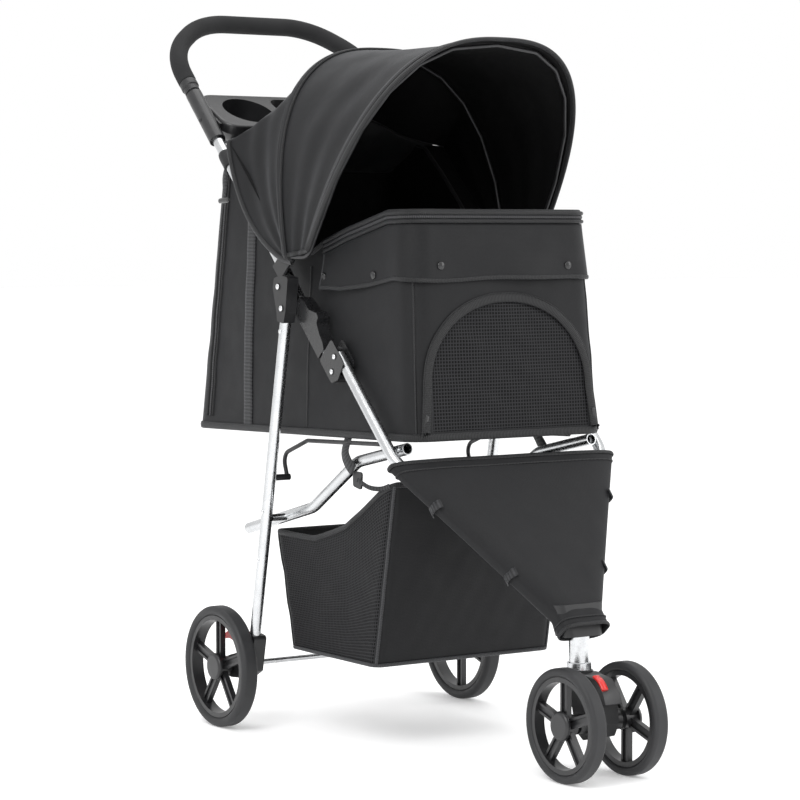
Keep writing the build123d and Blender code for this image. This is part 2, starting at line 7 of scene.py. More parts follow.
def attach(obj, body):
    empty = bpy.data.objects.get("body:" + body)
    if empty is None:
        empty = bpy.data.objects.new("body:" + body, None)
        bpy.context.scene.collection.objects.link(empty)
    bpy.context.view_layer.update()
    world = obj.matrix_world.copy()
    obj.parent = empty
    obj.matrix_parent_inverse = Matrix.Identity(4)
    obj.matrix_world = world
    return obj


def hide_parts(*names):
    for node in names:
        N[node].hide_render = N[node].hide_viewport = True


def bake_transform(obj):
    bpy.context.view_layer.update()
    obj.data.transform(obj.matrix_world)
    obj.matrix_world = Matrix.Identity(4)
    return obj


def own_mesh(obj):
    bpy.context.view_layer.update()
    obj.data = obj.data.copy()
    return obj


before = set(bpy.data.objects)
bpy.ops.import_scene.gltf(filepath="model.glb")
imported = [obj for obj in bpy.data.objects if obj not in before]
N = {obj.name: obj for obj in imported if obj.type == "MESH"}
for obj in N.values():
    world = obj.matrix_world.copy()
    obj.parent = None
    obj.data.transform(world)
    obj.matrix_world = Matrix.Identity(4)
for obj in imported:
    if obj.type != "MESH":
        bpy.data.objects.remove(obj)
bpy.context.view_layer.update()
Y0 = -96.4   # design y is measured from the middle of the wheelbase; lengths here are in mm until M()


def M(p):
    q = np.array(p, float)
    q[..., 1] += Y0
    return q / 1000.0


# ------------------------------------------------------------------ materials
def setup(name, color, rough, metallic=0.0, spec=0.5, sheen=0.0, sheen_rough=0.4, coat=0.0, coat_rough=0.1):
    m = bpy.data.materials.new(name)
    m.use_nodes = True
    nt = m.node_tree
    b = nt.nodes["Principled BSDF"]
    b.inputs["Base Color"].default_value = (*color, 1)
    b.inputs["Roughness"].default_value = rough
    b.inputs["Metallic"].default_value = metallic
    b.inputs["Specular IOR Level"].default_value = spec
    b.inputs["Sheen Weight"].default_value = sheen
    b.inputs["Sheen Roughness"].default_value = sheen_rough
    b.inputs["Sheen Tint"].default_value = (0.75, 0.77, 0.82, 1)
    b.inputs["Coat Weight"].default_value = coat
    b.inputs["Coat Roughness"].default_value = coat_rough
    return m, nt, b


def tone(nt, b, c0, c1, fac):
    mx = nt.nodes.new("ShaderNodeMix")
    mx.data_type = "RGBA"
    mx.inputs[6].default_value = (*c0, 1)
    mx.inputs[7].default_value = (*c1, 1)
    nt.links.new(fac, mx.inputs[0])
    nt.links.new(mx.outputs[2], b.inputs["Base Color"])


def ramp(nt, src, lo, hi, a=0.3, z=0.7):
    r = nt.nodes.new("ShaderNodeMapRange")
    r.inputs["From Min"].default_value = a
    r.inputs["From Max"].default_value = z
    r.inputs["To Min"].default_value = lo
    r.inputs["To Max"].default_value = hi
    nt.links.new(src, r.inputs["Value"])
    return r.outputs["Result"]


def noise(nt, vec, scale, detail=3.0, rough=0.5):
    n = nt.nodes.new("ShaderNodeTexNoise")
    n.inputs["Scale"].default_value = scale
    n.inputs["Detail"].default_value = detail
    n.inputs["Roughness"].default_value = rough
    nt.links.new(vec, n.inputs["Vector"])
    return n.outputs["Fac"]


def waves(nt, vec, direction, period):
    w = nt.nodes.new("ShaderNodeTexWave")
    w.wave_type = "BANDS"
    w.bands_direction = direction
    w.inputs["Scale"].default_value = 2 * math.pi / (20 * period)
    w.inputs["Distortion"].default_value = 0.0
    nt.links.new(vec, w.inputs["Vector"])
    return w.outputs["Fac"]


def math_node(nt, op, a, b):
    n = nt.nodes.new("ShaderNodeMath")
    n.operation = op
    for i, s in enumerate((a, b)):
        if isinstance(s, float):
            n.inputs[i].default_value = s
        else:
            nt.links.new(s, n.inputs[i])
    return n.outputs[0]


def bump(nt, b, height, strength, distance, chain=None):
    n = nt.nodes.new("ShaderNodeBump")
    n.inputs["Strength"].default_value = strength
    n.inputs["Distance"].default_value = distance
    nt.links.new(height, n.inputs["Height"])
    if chain is not None:
        nt.links.new(chain, n.inputs["Normal"])
    nt.links.new(n.outputs["Normal"], b.inputs["Normal"])
    return n.outputs["Normal"]


def coords(nt, which):
    return nt.nodes.new("ShaderNodeTexCoord").outputs[which]


def fabric(name, c0, c1, rough=0.62, sheen=0.10, period=0.0016, weave=0.55, fold=0.35, fold_scale=9.0):
    m, nt, b = setup(name, c0, rough, spec=0.22, sheen=sheen, sheen_rough=0.4)
    uv, ob = coords(nt, "UV"), coords(nt, "Object")
    wx, wy = waves(nt, uv, "X", period), waves(nt, uv, "Y", period)
    cloth = math_node(nt, "MULTIPLY", wx, wy)
    slub = noise(nt, ob, 420.0, 2.0)
    big = noise(nt, ob, 26.0, 4.0)
    mixed = math_node(nt, "ADD", math_node(nt, "MULTIPLY", cloth, 0.5), math_node(nt, "MULTIPLY", slub, 0.5))
    tone(nt, b, c0, c1, ramp(nt, math_node(nt, "ADD", math_node(nt, "MULTIPLY", mixed, 0.6), math_node(nt, "MULTIPLY", big, 0.4)), 0.0, 1.0))
    nt.links.new(ramp(nt, big, rough - 0.07, rough + 0.07), b.inputs["Roughness"])
    n1 = bump(nt, b, mixed, weave, 0.00035)
    folds = noise(nt, ob, fold_scale, 3.0)
    bump(nt, b, folds, fold, 0.006, n1)
    return m


def net(name, c0, c1, period=0.0030):
    m, nt, b = setup(name, c0, 0.6, spec=0.12, sheen=0.03)
    uv, ob = coords(nt, "UV"), coords(nt, "Object")
    wx, wy = waves(nt, uv, "X", period), waves(nt, uv, "Y", period)
    threads = math_node(nt, "MAXIMUM", wx, wy)
    # threads take c1; the holes between them take the near-black c0, painted shade for the dark inside seen through an
    # opaque net
    lit = ramp(nt, threads, 0.0, 1.0, 0.62, 0.92)
    tone(nt, b, c0, c1, lit)
    n1 = bump(nt, b, lit, 0.8, 0.0007)
    bump(nt, b, noise(nt, ob, 11.0, 3.0), 0.35, 0.006, n1)
    return m


def webbing(name, c0, c1, period=0.004):
    m, nt, b = setup(name, c0, 0.5, spec=0.35, sheen=0.08)
    uv = coords(nt, "UV")
    rib = waves(nt, uv, "X", period)
    fine = waves(nt, uv, "Y", 0.0016)
    h = math_node(nt, "ADD", math_node(nt, "MULTIPLY", rib, 0.75), math_node(nt, "MULTIPLY", fine, 0.25))
    tone(nt, b, c0, c1, ramp(nt, h, 0.0, 1.0, 0.1, 0.9))
    bump(nt, b, h, 0.8, 0.0009)
    return m


def plastic(name, c0, c1, rough, spec=0.5, grain=900.0, strength=0.18, coat=0.0):
    m, nt, b = setup(name, c0, rough, spec=spec, coat=coat, coat_rough=0.18)
    ob = coords(nt, "Object")
    g = noise(nt, ob, grain, 2.0)
    tone(nt, b, c0, c1, ramp(nt, noise(nt, ob, 30.0), 0.0, 1.0))
    nt.links.new(ramp(nt, noise(nt, ob, 60.0), rough - 0.05, rough + 0.06), b.inputs["Roughness"])
    bump(nt, b, g, strength, 0.0002)
    return m


def metal(name, c0, c1, rough, metallic=1.0):
    m, nt, b = setup(name, c0, rough, metallic=metallic)
    ob = coords(nt, "Object")
    tone(nt, b, c0, c1, ramp(nt, noise(nt, ob, 45.0), 0.0, 1.0))
    nt.links.new(ramp(nt, noise(nt, ob, 160.0, 4.0), rough - 0.04, rough + 0.06), b.inputs["Roughness"])
    bump(nt, b, noise(nt, ob, 700.0, 2.0), 0.06, 0.0001)
    return m


CLOTH = fabric("cloth_black", (0.0055, 0.0056, 0.0062), (0.0120, 0.0122, 0.0133))
CLOTH_TOP = fabric("cloth_canopy", (0.0055, 0.0056, 0.0062), (0.0125, 0.0127, 0.0138), fold=0.5, fold_scale=8.0)
# darker copy of the black cloth for inner faces, the zip channel and the gussets under the hood: painted shade
PAINTED_SHADE_CLOTH = fabric("cloth_painted_shade", (0.0016, 0.0016, 0.0018), (0.0032, 0.0032, 0.0036), rough=0.85, sheen=0.0)
APRON_MAT = fabric("cloth_apron", (0.0060, 0.0061, 0.0068), (0.0130, 0.0132, 0.0144), fold=0.3)
MAT_CLOTH = fabric("cloth_mat", (0.016, 0.0165, 0.018), (0.028, 0.029, 0.031), fold=0.5, fold_scale=14.0)
# first colour of each net: painted shade in the holes; second colour: the threads
NET = net("net_window", (0.0008, 0.0008, 0.0009), (0.024, 0.024, 0.026), period=0.0046)
NET_SIDE = net("net_basket", (0.0010, 0.0010, 0.0011), (0.026, 0.026, 0.028), period=0.0040)
PIPING = webbing("piping_bound", (0.0028, 0.0029, 0.0032), (0.0100, 0.0102, 0.0112), period=0.0024)
PIPING_LIGHT = webbing("piping_edge", (0.018, 0.0185, 0.0200), (0.042, 0.043, 0.046), period=0.0024)
WEBBING = webbing("webbing_tape", (0.0050, 0.0052, 0.0060), (0.026, 0.0265, 0.0290), period=0.0052)
TEETH = webbing("zip_teeth", (0.006, 0.006, 0.0066), (0.050, 0.050, 0.054), period=0.0030)
SILVER = metal("silver_tube", (0.56, 0.57, 0.58), (0.62, 0.63, 0.64), 0.25)
AXLE = metal("axle_steel", (0.60, 0.61, 0.62), (0.70, 0.71, 0.72), 0.30)
BLACK_STEEL = metal("black_steel", (0.012, 0.012, 0.013), (0.022, 0.022, 0.024), 0.36, metallic=0.2)
BLACK_PL = plastic("black_plastic", (0.0085, 0.0085, 0.0095), (0.0140, 0.0142, 0.0152), 0.40)
LATCH_PL = plastic("latch_plastic", (0.0075, 0.0075, 0.0082), (0.0120, 0.0122, 0.0130), 0.27, strength=0.05, coat=0.25)
TRAY_PL = plastic("tray_plastic", (0.0100, 0.0102, 0.0110), (0.0150, 0.0152, 0.0162), 0.36, strength=0.08, coat=0.15)
RIM_PL = plastic("rim_plastic", (0.0095, 0.0095, 0.0105), (0.0150, 0.0150, 0.0162), 0.38, strength=0.06, coat=0.10)
RED_PL = plastic("red_plastic", (0.52, 0.012, 0.010), (0.62, 0.020, 0.015), 0.30, strength=0.03, coat=0.2)
FOAM = plastic("foam", (0.0120, 0.0122, 0.0128), (0.0190, 0.0192, 0.0200), 0.82, spec=0.25, grain=1400.0, strength=0.6)
TYRE = plastic("tyre", (0.0170, 0.0173, 0.0185), (0.0240, 0.0243, 0.0260), 0.55, spec=0.4, grain=1100.0, strength=0.3)
RIVET = metal("rivet", (0.72, 0.73, 0.74), (0.80, 0.81, 0.82), 0.24)


# ------------------------------------------------------------------ mesh helpers
def make(name, verts, faces, mat, body, uvs=None, smooth=True, mats=None, index=None):
    me = bpy.data.meshes.new(name)
    me.from_pydata([tuple(v) for v in verts], [], [tuple(f) for f in faces])
    me.update()
    for x in (mats or [mat]):
        me.materials.append(x)
    if index is not None:
        me.polygons.foreach_set("material_index", np.asarray(index, np.int32))
    if smooth:
        me.polygons.foreach_set("use_smooth", np.ones(len(me.polygons), bool))
    if uvs is not None:
        layer = me.uv_layers.new(name="UVMap")
        vi = np.zeros(len(me.loops), np.int32)
        me.loops.foreach_get("vertex_index", vi)
        layer.data.foreach_set("uv", np.asarray(uvs, np.float32)[vi].ravel())
    o = bpy.data.objects.new(name, me)
    bpy.context.scene.collection.objects.link(o)
    if body:
        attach(o, body)
    return o


def grid(name, P, mat, body, cu=False, cv=False, keep=None, thick=0.0, side=-1.0, mats=None, index=None, flip=False):
    """P is (nu, nv, 3) in mm; u and v are the two directions of the sheet."""
    P = np.asarray(P, float)
    nu, nv = P.shape[:2]
    du = np.linalg.norm(np.diff(P, axis=0), axis=2).mean(1)
    dv = np.linalg.norm(np.diff(P, axis=1), axis=2).mean(0)
    su = np.concatenate([[0], np.cumsum(du)]) / 1000
    sv = np.concatenate([[0], np.cumsum(dv)]) / 1000
    uv = np.stack(np.meshgrid(su, sv, indexing="ij"), -1).reshape(-1, 2)
    faces, idx = [], []
    for i in range(nu if cu else nu - 1):
        for j in range(nv if cv else nv - 1):
            if keep is not None and not keep(i, j):
                continue
            a, b, c, d = i * nv + j, ((i + 1) % nu) * nv + j, ((i + 1) % nu) * nv + (j + 1) % nv, i * nv + (j + 1) % nv
            faces.append((a, d, c, b) if flip else (a, b, c, d))
            if index is not None:
                idx.append(index(i, j))
    used = np.unique(np.array(faces).ravel())
    remap = -np.ones(nu * nv, int)
    remap[used] = np.arange(len(used))
    faces = [tuple(remap[list(f)]) for f in faces]
    o = make(name, M(P).reshape(-1, 3)[used], faces, mat, body, uv[used], mats=mats, index=idx if index is not None else None)
    if thick:
        s = o.modifiers.new("thickness", "SOLIDIFY")
        s.thickness = thick / 1000
        s.offset = side
    return o


def smooth_path(pts, step=6.0, closed=False):
    """Catmull-Rom through the points, resampled about every step mm."""
    p = np.asarray(pts, float)
    n = len(p)
    get = (lambda k: p[k % n]) if closed else (lambda k: p[min(max(k, 0), n - 1)])
    out = []
    for k in range(n if closed else n - 1):
        a, b, c, d = get(k - 1), get(k), get(k + 1), get(k + 2)
        m = max(2, int(np.linalg.norm(c - b) / step))
        for t in np.linspace(0, 1, m, endpoint=False):
            out.append(0.5 * ((2 * b) + (c - a) * t + (2 * a - 5 * b + 4 * c - d) * t * t + (3 * b - a - 3 * c + d) * t ** 3))
    if not closed:
        out.append(p[-1])
    return np.array(out)


def ell(w, t, n=12):
    a = np.linspace(0, 2 * np.pi, n, endpoint=False)
    return np.stack([w * np.cos(a), t * np.sin(a)], -1)


def sweep(name, path, prof, up, mat, body, closed=False, scale=None):
    """A solid of profile prof (side, up) in mm along path; up is one vector or one per point."""
    P = np.asarray(path, float)
    n = len(P)
    up = np.broadcast_to(np.asarray(up, float), P.shape)
    if closed:
        T = np.roll(P, -1, 0) - np.roll(P, 1, 0)
    else:
        T = np.gradient(P, axis=0)
    T /= np.linalg.norm(T, axis=1, keepdims=True) + 1e-12
    S = np.cross(T, up)
    S /= np.linalg.norm(S, axis=1, keepdims=True) + 1e-12
    U = np.cross(S, T)
    sc = np.ones(n) if scale is None else np.asarray(scale, float)
    prof = np.asarray(prof, float)
    k = len(prof)
    V = P[:, None, :] + sc[:, None, None] * (prof[None, :, 0:1] * S[:, None, :] + prof[None, :, 1:2] * U[:, None, :])
    length = np.concatenate([[0], np.cumsum(np.linalg.norm(np.diff(P, axis=0), axis=1))]) / 1000
    around = np.concatenate([[0], np.cumsum(np.linalg.norm(np.diff(prof, axis=0), axis=1))]) / 1000
    uv = np.stack(np.meshgrid(length, around, indexing="ij"), -1).reshape(-1, 2)
    faces = []
    for i in range(n if closed else n - 1):
        for j in range(k):
            a, b = i * k + j, ((i + 1) % n) * k + j
            c, d = ((i + 1) % n) * k + (j + 1) % k, i * k + (j + 1) % k
            faces.append((a, d, c, b))
    if not closed:
        faces.append(tuple(range(k)))
        faces.append(tuple((n - 1) * k + j for j in range(k - 1, -1, -1)))
    return make(name, M(V).reshape(-1, 3), faces, mat, body, uv)


def ripple(p, scale=60.0, amp=1.0, seed=0.0):
    """A smooth fixed ripple field, in mm."""
    x, y, z = p[..., 0] / scale, p[..., 1] / scale, p[..., 2] / scale
    r = np.sin(1.7 * x + 2.3 * z + 0.7 + seed) * np.sin(1.1 * y - 1.9 * z + 1.3 + 2 * seed)
    r += 0.6 * np.sin(3.1 * x - 1.2 * y + 0.8 * z + 2.1 + seed) * np.sin(2.3 * z + 1.4 * y + seed)
    r += 0.35 * np.sin(5.3 * x + 4.1 * y + 2.2 * z + seed) * np.cos(4.7 * z - 2.0 * x)
    return amp * r / 1.5


def dome(name, centre, normal, r, h, mat, body):
    c, nrm = np.array(centre, float), np.array(normal, float)
    nrm = nrm / np.linalg.norm(nrm)
    a = np.cross(nrm, (0, 0, 1.0)) if abs(nrm[2]) < 0.9 else np.cross(nrm, (1.0, 0, 0))
    a /= np.linalg.norm(a)
    b = np.cross(nrm, a)
    prof = [(r, -0.6), (r, 0.25 * h), (0.93 * r, 0.5 * h), (0.74 * r, 0.62 * h), (0.66 * r, 0.58 * h), (0.55 * r, 0.86 * h), (0.3 * r, 0.98 * h)]
    n, V, F = 24, [], []
    for rr, hh in prof:
        for k in range(n):
            t = 2 * math.pi * k / n
            V.append(c + rr * (math.cos(t) * a + math.sin(t) * b) + hh * nrm)
    for i in range(len(prof) - 1):
        for k in range(n):
            F.append((i * n + k, i * n + (k + 1) % n, (i + 1) * n + (k + 1) % n, (i + 1) * n + k))
    V.append(c + h * nrm)
    V.append(c - 0.6 * nrm)
    for k in range(n):
        F.append(((len(prof) - 1) * n + k, (len(prof) - 1) * n + (k + 1) % n, len(V) - 2))
        F.append(((k + 1) % n, k, len(V) - 1))
    return make(name, M(V), F, mat, body)


cabin_pieces, basket_pieces, canopy_pieces = [], [], []


# ------------------------------------------------------------------ cabin
LOW, HIGH, R_C = (420.0, -118.0, 470.0, 158.9), (830.0, -82.0, 418.0, 145.5), 30.0


def level(z):
    t = (np.asarray(z, float) - LOW[0]) / (HIGH[0] - LOW[0])
    return (LOW[1] + t * (HIGH[1] - LOW[1]), LOW[2] + t * (HIGH[2] - LOW[2]), LOW[3] + t * (HIGH[3] - LOW[3]))


def cpt(ax, ay, nx, ny, z, off=0.0, soft=True):
    """A point on the cabin cloth: (ax, ay) on the unit plan rectangle, (nx, ny) the outward direction, z the height."""
    ax, ay, nx, ny, z = np.broadcast_arrays(*[np.asarray(v, float) for v in (ax, ay, nx, ny, z)])
    ya, yb, hx = level(z)
    x = ax * (hx - R_C) + R_C * nx
    y = (ya + yb) / 2 + ay * ((yb - ya) / 2 - R_C) + R_C * ny
    v = np.clip((z - 436) / 270, 0, 1)
    side = 1 - ay ** 2
    front = (1 - ax ** 2) * (ny < -0.5)
    rear = (1 - ax ** 2) * (ny > 0.5)
    d = np.zeros_like(z)
    if soft:
        swell = np.sin(np.pi * v)
        d = swell * (2.6 * front + 2.0 * rear + 1.6 * np.sqrt(np.clip(side, 0, 1)))
        p = np.stack([x, y, z], -1)
        lines = np.sin(p[..., 1] / 23.0 + 0.6 * np.sin(z / 61.0)) * (side > 0) * np.sqrt(np.clip(side, 0, 1))
        d = d + swell * (0.5 * lines * 1.2) + ripple(p, 46, 0.9) * (0.25 + 0.75 * swell)
    d = d + off
    return np.stack([x + nx * d, y + ny * d, z], -1)


def side_ay(y, z):
    ya, yb, hx = level(z)
    return (np.asarray(y, float) - (ya + yb) / 2) / ((yb - ya) / 2 - R_C)


def on_side(s, y, z, off=0.0):
    return cpt(float(s), np.clip(side_ay(y, z), -1, 1), float(s), 0.0, z, off)


def on_front(x, z, off=0.0):
    ya, yb, hx = level(z)
    return cpt(np.asarray(x, float) / (hx - R_C), -1.0, 0.0, -1.0, z, off)


def loop_samples(step=5.0):
    """(ax, ay, nx, ny) all the way round, from the middle of the rear, over the right side, front and left side."""
    out = []
    nr, ns, nc = int(240 / step), int(480 / step), 9
    for f in np.linspace(0, -1, nr // 2, endpoint=False):
        out.append((f, 1, 0, 1))
    for k in range(nc):
        a = math.pi / 2 + (math.pi / 2) * k / nc
        out.append((-1, 1, math.cos(a), math.sin(a)))
    for f in np.linspace(1, -1, ns, endpoint=False):
        out.append((-1, f, -1, 0))
    for k in range(nc):
        a = math.pi + (math.pi / 2) * k / nc
        out.append((-1, -1, math.cos(a), math.sin(a)))
    for f in np.linspace(-1, 1, int(250 / (step * 0.8)), endpoint=False):
        out.append((f, -1, 0, -1))
    for k in range(nc):
        a = 1.5 * math.pi + (math.pi / 2) * k / nc
        out.append((1, -1, math.cos(a), math.sin(a)))
    for f in np.linspace(-1, 1, ns, endpoint=False):
        out.append((1, f, 1, 0))
    for k in range(nc):
        a = (math.pi / 2) * k / nc
        out.append((1, 1, math.cos(a), math.sin(a)))
    for f in np.linspace(1, 0, nr // 2, endpoint=False):
        out.append((f, 1, 0, 1))
    return np.array(out, float)


TOP_LINE = np.array([(-140, 740), (-40, 739), (60, 716), (117, 700), (150, 684), (172, 700), (215, 752), (262, 800), (305, 838), (345, 846),
                     (362, 826), (396, 812), (430, 806), (500, 800)], float)
RIM_LOW = np.array([(-140, 724), (-44, 722), (56, 699), (112, 683), (150, 672)], float)


def interp(line, y):
    return np.interp(y, line[:, 0], line[:, 1])


def solve_z(ax, ay, nx, ny, fn):
    z = np.full(len(ax), 600.0)
    for _ in range(40):
        p = cpt(ax, ay, nx, ny, z, soft=False)
        z = 0.5 * z + 0.5 * fn(p[:, 1])
    return z


L = loop_samples(5.0)
ax, ay, nx, ny = L.T
z_top = solve_z(ax, ay, nx, ny, lambda y: interp(TOP_LINE, y) - 1.5)
z_bot = solve_z(ax, ay, nx, ny, lambda y: 438.2 - (y + 140) * 14.2 / 620)
rows = np.linspace(0, 1, 66)
P = np.stack([cpt(ax, ay, nx, ny, z_bot + r * (z_top - z_bot)) for r in rows], 1)


def arch_inside(x, z, pad=0.0):
    b, t, h = 447.0 - pad, 622.0 + pad, 139.0 + pad
    if z < b:
        return False
    if z < 500:
        return abs(x) < h - 6 * (z - 447) / 53
    return (abs(x) / (h - 6)) ** 2.12 + ((z - 500) / (t - 500)) ** 2.12 < 1


def arch_line(pad=0.0, n=40):
    b, t, h = 447.0 - pad, 622.0 + pad, 139.0 + pad
    pts = [(-h, b)] + [(-h + 6 * k / 5, b + (500 - b) * k / 5) for k in range(1, 5)]
    for k in range(n + 1):
        a = math.pi - math.pi * k / n
        c, s = math.cos(a), abs(math.sin(a))
        pts.append(((h - 6) * math.copysign(abs(c) ** (2 / 2.12), c), 500 + (t - 500) * s ** (2 / 2.12)))
    pts += [(h - 6 + 6 * k / 5, 500 - (500 - b) * k / 5) for k in range(1, 5)] + [(h, b)]
    return pts


mid = 0.25 * (P + np.roll(P, -1, 0))[:, :-1] + 0.25 * (P + np.roll(P, -1, 0))[:, 1:]
is_front = (ny < -0.99) & (np.abs(ax) <= 1)


def keep_cabin(i, j):
    return not (is_front[i] and arch_inside(mid[i, j, 0], mid[i, j, 2], -1.0))


cabin = grid("cabin_shell", P, CLOTH, "front_frame", cu=True, keep=keep_cabin, thick=2.2, side=-1.0, mats=[CLOTH, PAINTED_SHADE_CLOTH], flip=False)
# the inner face of the cabin wall takes the darker cloth: painted shade inside the cabin
cabin.modifiers["thickness"].material_offset = 1
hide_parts("cabin_front", "cabin_rear", "cabin_side_right", "cabin_side_left")
cabin_pieces.append(cabin)

# window net, set just inside the front panel
xs, zs = np.linspace(-146, 146, 98), np.linspace(442, 632, 66)
X, Z = np.meshgrid(xs, zs, indexing="ij")
W = on_front(X, Z, -1.4)
W[..., 1] += ripple(W, 24, 0.9, 1.7) * np.clip(1 - (X / 150) ** 2, 0, 1)
win = grid("window_net", W, NET, "front_frame", thick=0.6,
           keep=lambda i, j: arch_inside(0.5 * (xs[i] + xs[i + 1]), 0.5 * (zs[j] + zs[j + 1]), 4.0), flip=False)
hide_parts("window_mesh")
cabin_pieces.append(win)
# arched binding with its stitched inner edge, and the bottom binding
arc = np.array(smooth_path([(x, 0, z) for x, z in arch_line(1.0)], 5.0))
path = on_front(arc[:, 0], arc[:, 2], 1.3)
cabin_pieces.append(sweep("window_binding", path, ell(6.2, 2.1, 14), (0, -1, 0.09), PIPING, "front_frame"))
arc = np.array(smooth_path([(x, 0, z) for x, z in arch_line(7.5)], 5.0))
path = on_front(arc[:, 0], arc[:, 2], 1.1)
cabin_pieces.append(sweep("window_seam", path, ell(1.1, 1.2, 8), (0, -1, 0.09), PIPING, "front_frame"))

# bottom binding, all the way round
zb = z_bot + 1.5
path = cpt(ax, ay, nx, ny, zb, 0.8)
up = np.stack([nx, ny, np.zeros_like(nx)], -1)
cabin_pieces.append(sweep("bottom_binding", path, ell(5.2, 2.3, 12), up, PIPING, "front_frame", closed=True))

# top edge binding, open part behind the rim
path = cpt(ax, ay, nx, ny, z_top, 0.0)
cabin_pieces.append(sweep("top_binding", path, ell(2.3, 4.2, 12), (0, 0, 1), PIPING, "front_frame", closed=True))

# corner seams with a fine piping
for s in (-1, 1):
    for fy, label in ((-1, "front"), (1, "rear")):
        a0 = math.atan2(fy, s)
        cx, cy = math.cos(a0), math.sin(a0)
        k = int(np.argmin((ax - s) ** 2 + (ay - fy) ** 2 + (nx - cx) ** 2 + (ny - cy) ** 2))
        zz = np.linspace(z_bot[k] + 4, (654 if fy < 0 else z_top[k] - 4), 44)
        path = cpt(float(s), float(fy), cx, cy, zz, 0.3)
        cabin_pieces.append(sweep(f"seam_{label}_{'left' if s > 0 else 'right'}", path, ell(1.5, 1.3, 10), (cx, cy, 0), PIPING, "front_frame"))

# side details: rear zip channel, webbing tape, panel seam
for s, lab in ((-1, "right"), (1, "left")):
    def line_on_side(y0, z0, y1, z1, off, n=46):
        f = np.linspace(0, 1, n)
        return on_side(s, y0 + (y1 - y0) * f, z0 + (z1 - z0) * f, off)
    upv = (s, 0, 0)
    # the zip channel is the darker cloth: painted shade in the recess
    cabin_pieces.append(sweep(f"channel_{lab}", line_on_side(424, 441, 389, 800, 0.3), ell(6.5, 0.9, 12), upv, PAINTED_SHADE_CLOTH, "front_frame"))
    for dy, nm in ((-7.5, "a"), (7.5, "b")):
        cabin_pieces.append(sweep(f"channel_lip_{nm}_{lab}", line_on_side(424 + dy, 441, 389 + dy, 798, 0.7), ell(1.7, 1.7, 10), upv, PIPING, "front_frame"))
    cabin_pieces.append(sweep(f"channel_zip_{lab}", line_on_side(424, 441, 389, 797, 1.0), ell(1.9, 1.1, 10), upv, TEETH, "front_frame"))
    tape = [(-11, -0.9), (11, -0.9), (11.6, 0), (11, 1.0), (5.5, 1.3), (0, 1.2), (-5.5, 1.3), (-11, 1.0), (-11.6, 0)]
    cabin_pieces.append(sweep(f"side_tape_{lab}", line_on_side(313, 434, 315, 806, 0.7), tape, upv, WEBBING, "front_frame"))
    cabin_pieces.append(sweep(f"side_seam_{lab}", line_on_side(152, 440, 150, 664, 0.2), ell(1.5, 1.0, 8), upv, PIPING, "front_frame"))
    # a point at the foot of the window; nothing is built there
    c = on_front(np.array([s * 150.0]), np.array([455.0]), 1.8)[0]

# window zip pullers, one each side of the arch
for s, lab in ((-1, "right"), (1, "left")):
    top = on_front(np.array([s * 138.0]), np.array([470.0]), 3.2)[0]
    path = np.array([top + np.array([s * 0.6 * k, -0.4, -2.6 * k]) for k in range(9)])
    cabin_pieces.append(sweep(f"zip_pull_{lab}", path, [(-2.6, -0.7), (2.6, -0.7), (3.0, 0), (2.6, 0.7), (-2.6, 0.7), (-3.0, 0)], (0, -1, 0), LATCH_PL, "front_frame"))

# rear panel: zipped door outline
ya_, yb_, hx_ = level(600)
door = [(-104, 462), (-100, 560), (-86, 640), (-50, 690), (0, 704), (50, 690), (86, 640), (100, 560), (104, 462)]
dp = smooth_path([(x, 0, z) for x, z in door], 7.0)
ya_d, yb_d, hx_d = level(dp[:, 2])
path = cpt(dp[:, 0] / (hx_d - R_C), 1.0, 0.0, 1.0, dp[:, 2], 0.9)
cabin_pieces.append(sweep("rear_door_zip", path, ell(4.6, 1.3, 12), (0, 1, 0.28), PIPING, "front_frame"))
cabin_pieces.append(sweep("rear_door_teeth", path + np.array([0, 1.3, 0.3]), ell(1.6, 0.9, 8), (0, 1, 0.28), TEETH, "front_frame"))

# rim: two pipings with the zip between, from side to side round the front
sel = [k for k in range(len(L)) if not (ny[k] > 0.5)]
mask = []
for k in sel:
    y = cpt(ax[k], ay[k], nx[k], ny[k], 700.0, soft=False)[1]
    if y < 118:
        mask.append(k)
mask = np.array(mask)
rax, ray, rnx, rny = ax[mask], ay[mask], nx[mask], ny[mask]
z_r1 = solve_z(rax, ray, rnx, rny, lambda y: interp(RIM_LOW, y) + 3.0)
z_r2 = solve_z(rax, ray, rnx, rny, lambda y: interp(TOP_LINE, y) - 2.5)
rup = np.stack([rnx, rny, np.zeros_like(rnx)], -1)


def rim_path(f, off):
    return cpt(rax, ray, rnx, rny, z_r1 + f * (z_r2 - z_r1), off)


rim_low = sweep("rim_piping_low", rim_path(0.0, 2.6), ell(2.7, 2.7, 12), rup, PIPING, "front_frame")
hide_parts("cabin_rim")
rim_top = sweep("rim_piping_top", rim_path(1.0, 2.8), ell(3.0, 3.0, 12), rup, PIPING, "front_frame")
rim_tape = sweep("rim_zip_tape", rim_path(0.5, 1.5), ell(6.6, 1.2, 12), rup, CLOTH, "front_frame")
rim_zip = sweep("rim_zip_teeth", rim_path(0.52, 2.9), ell(2.1, 1.2, 10), rup, TEETH, "front_frame")
cabin_pieces += [rim_low, rim_top, rim_tape, rim_zip]

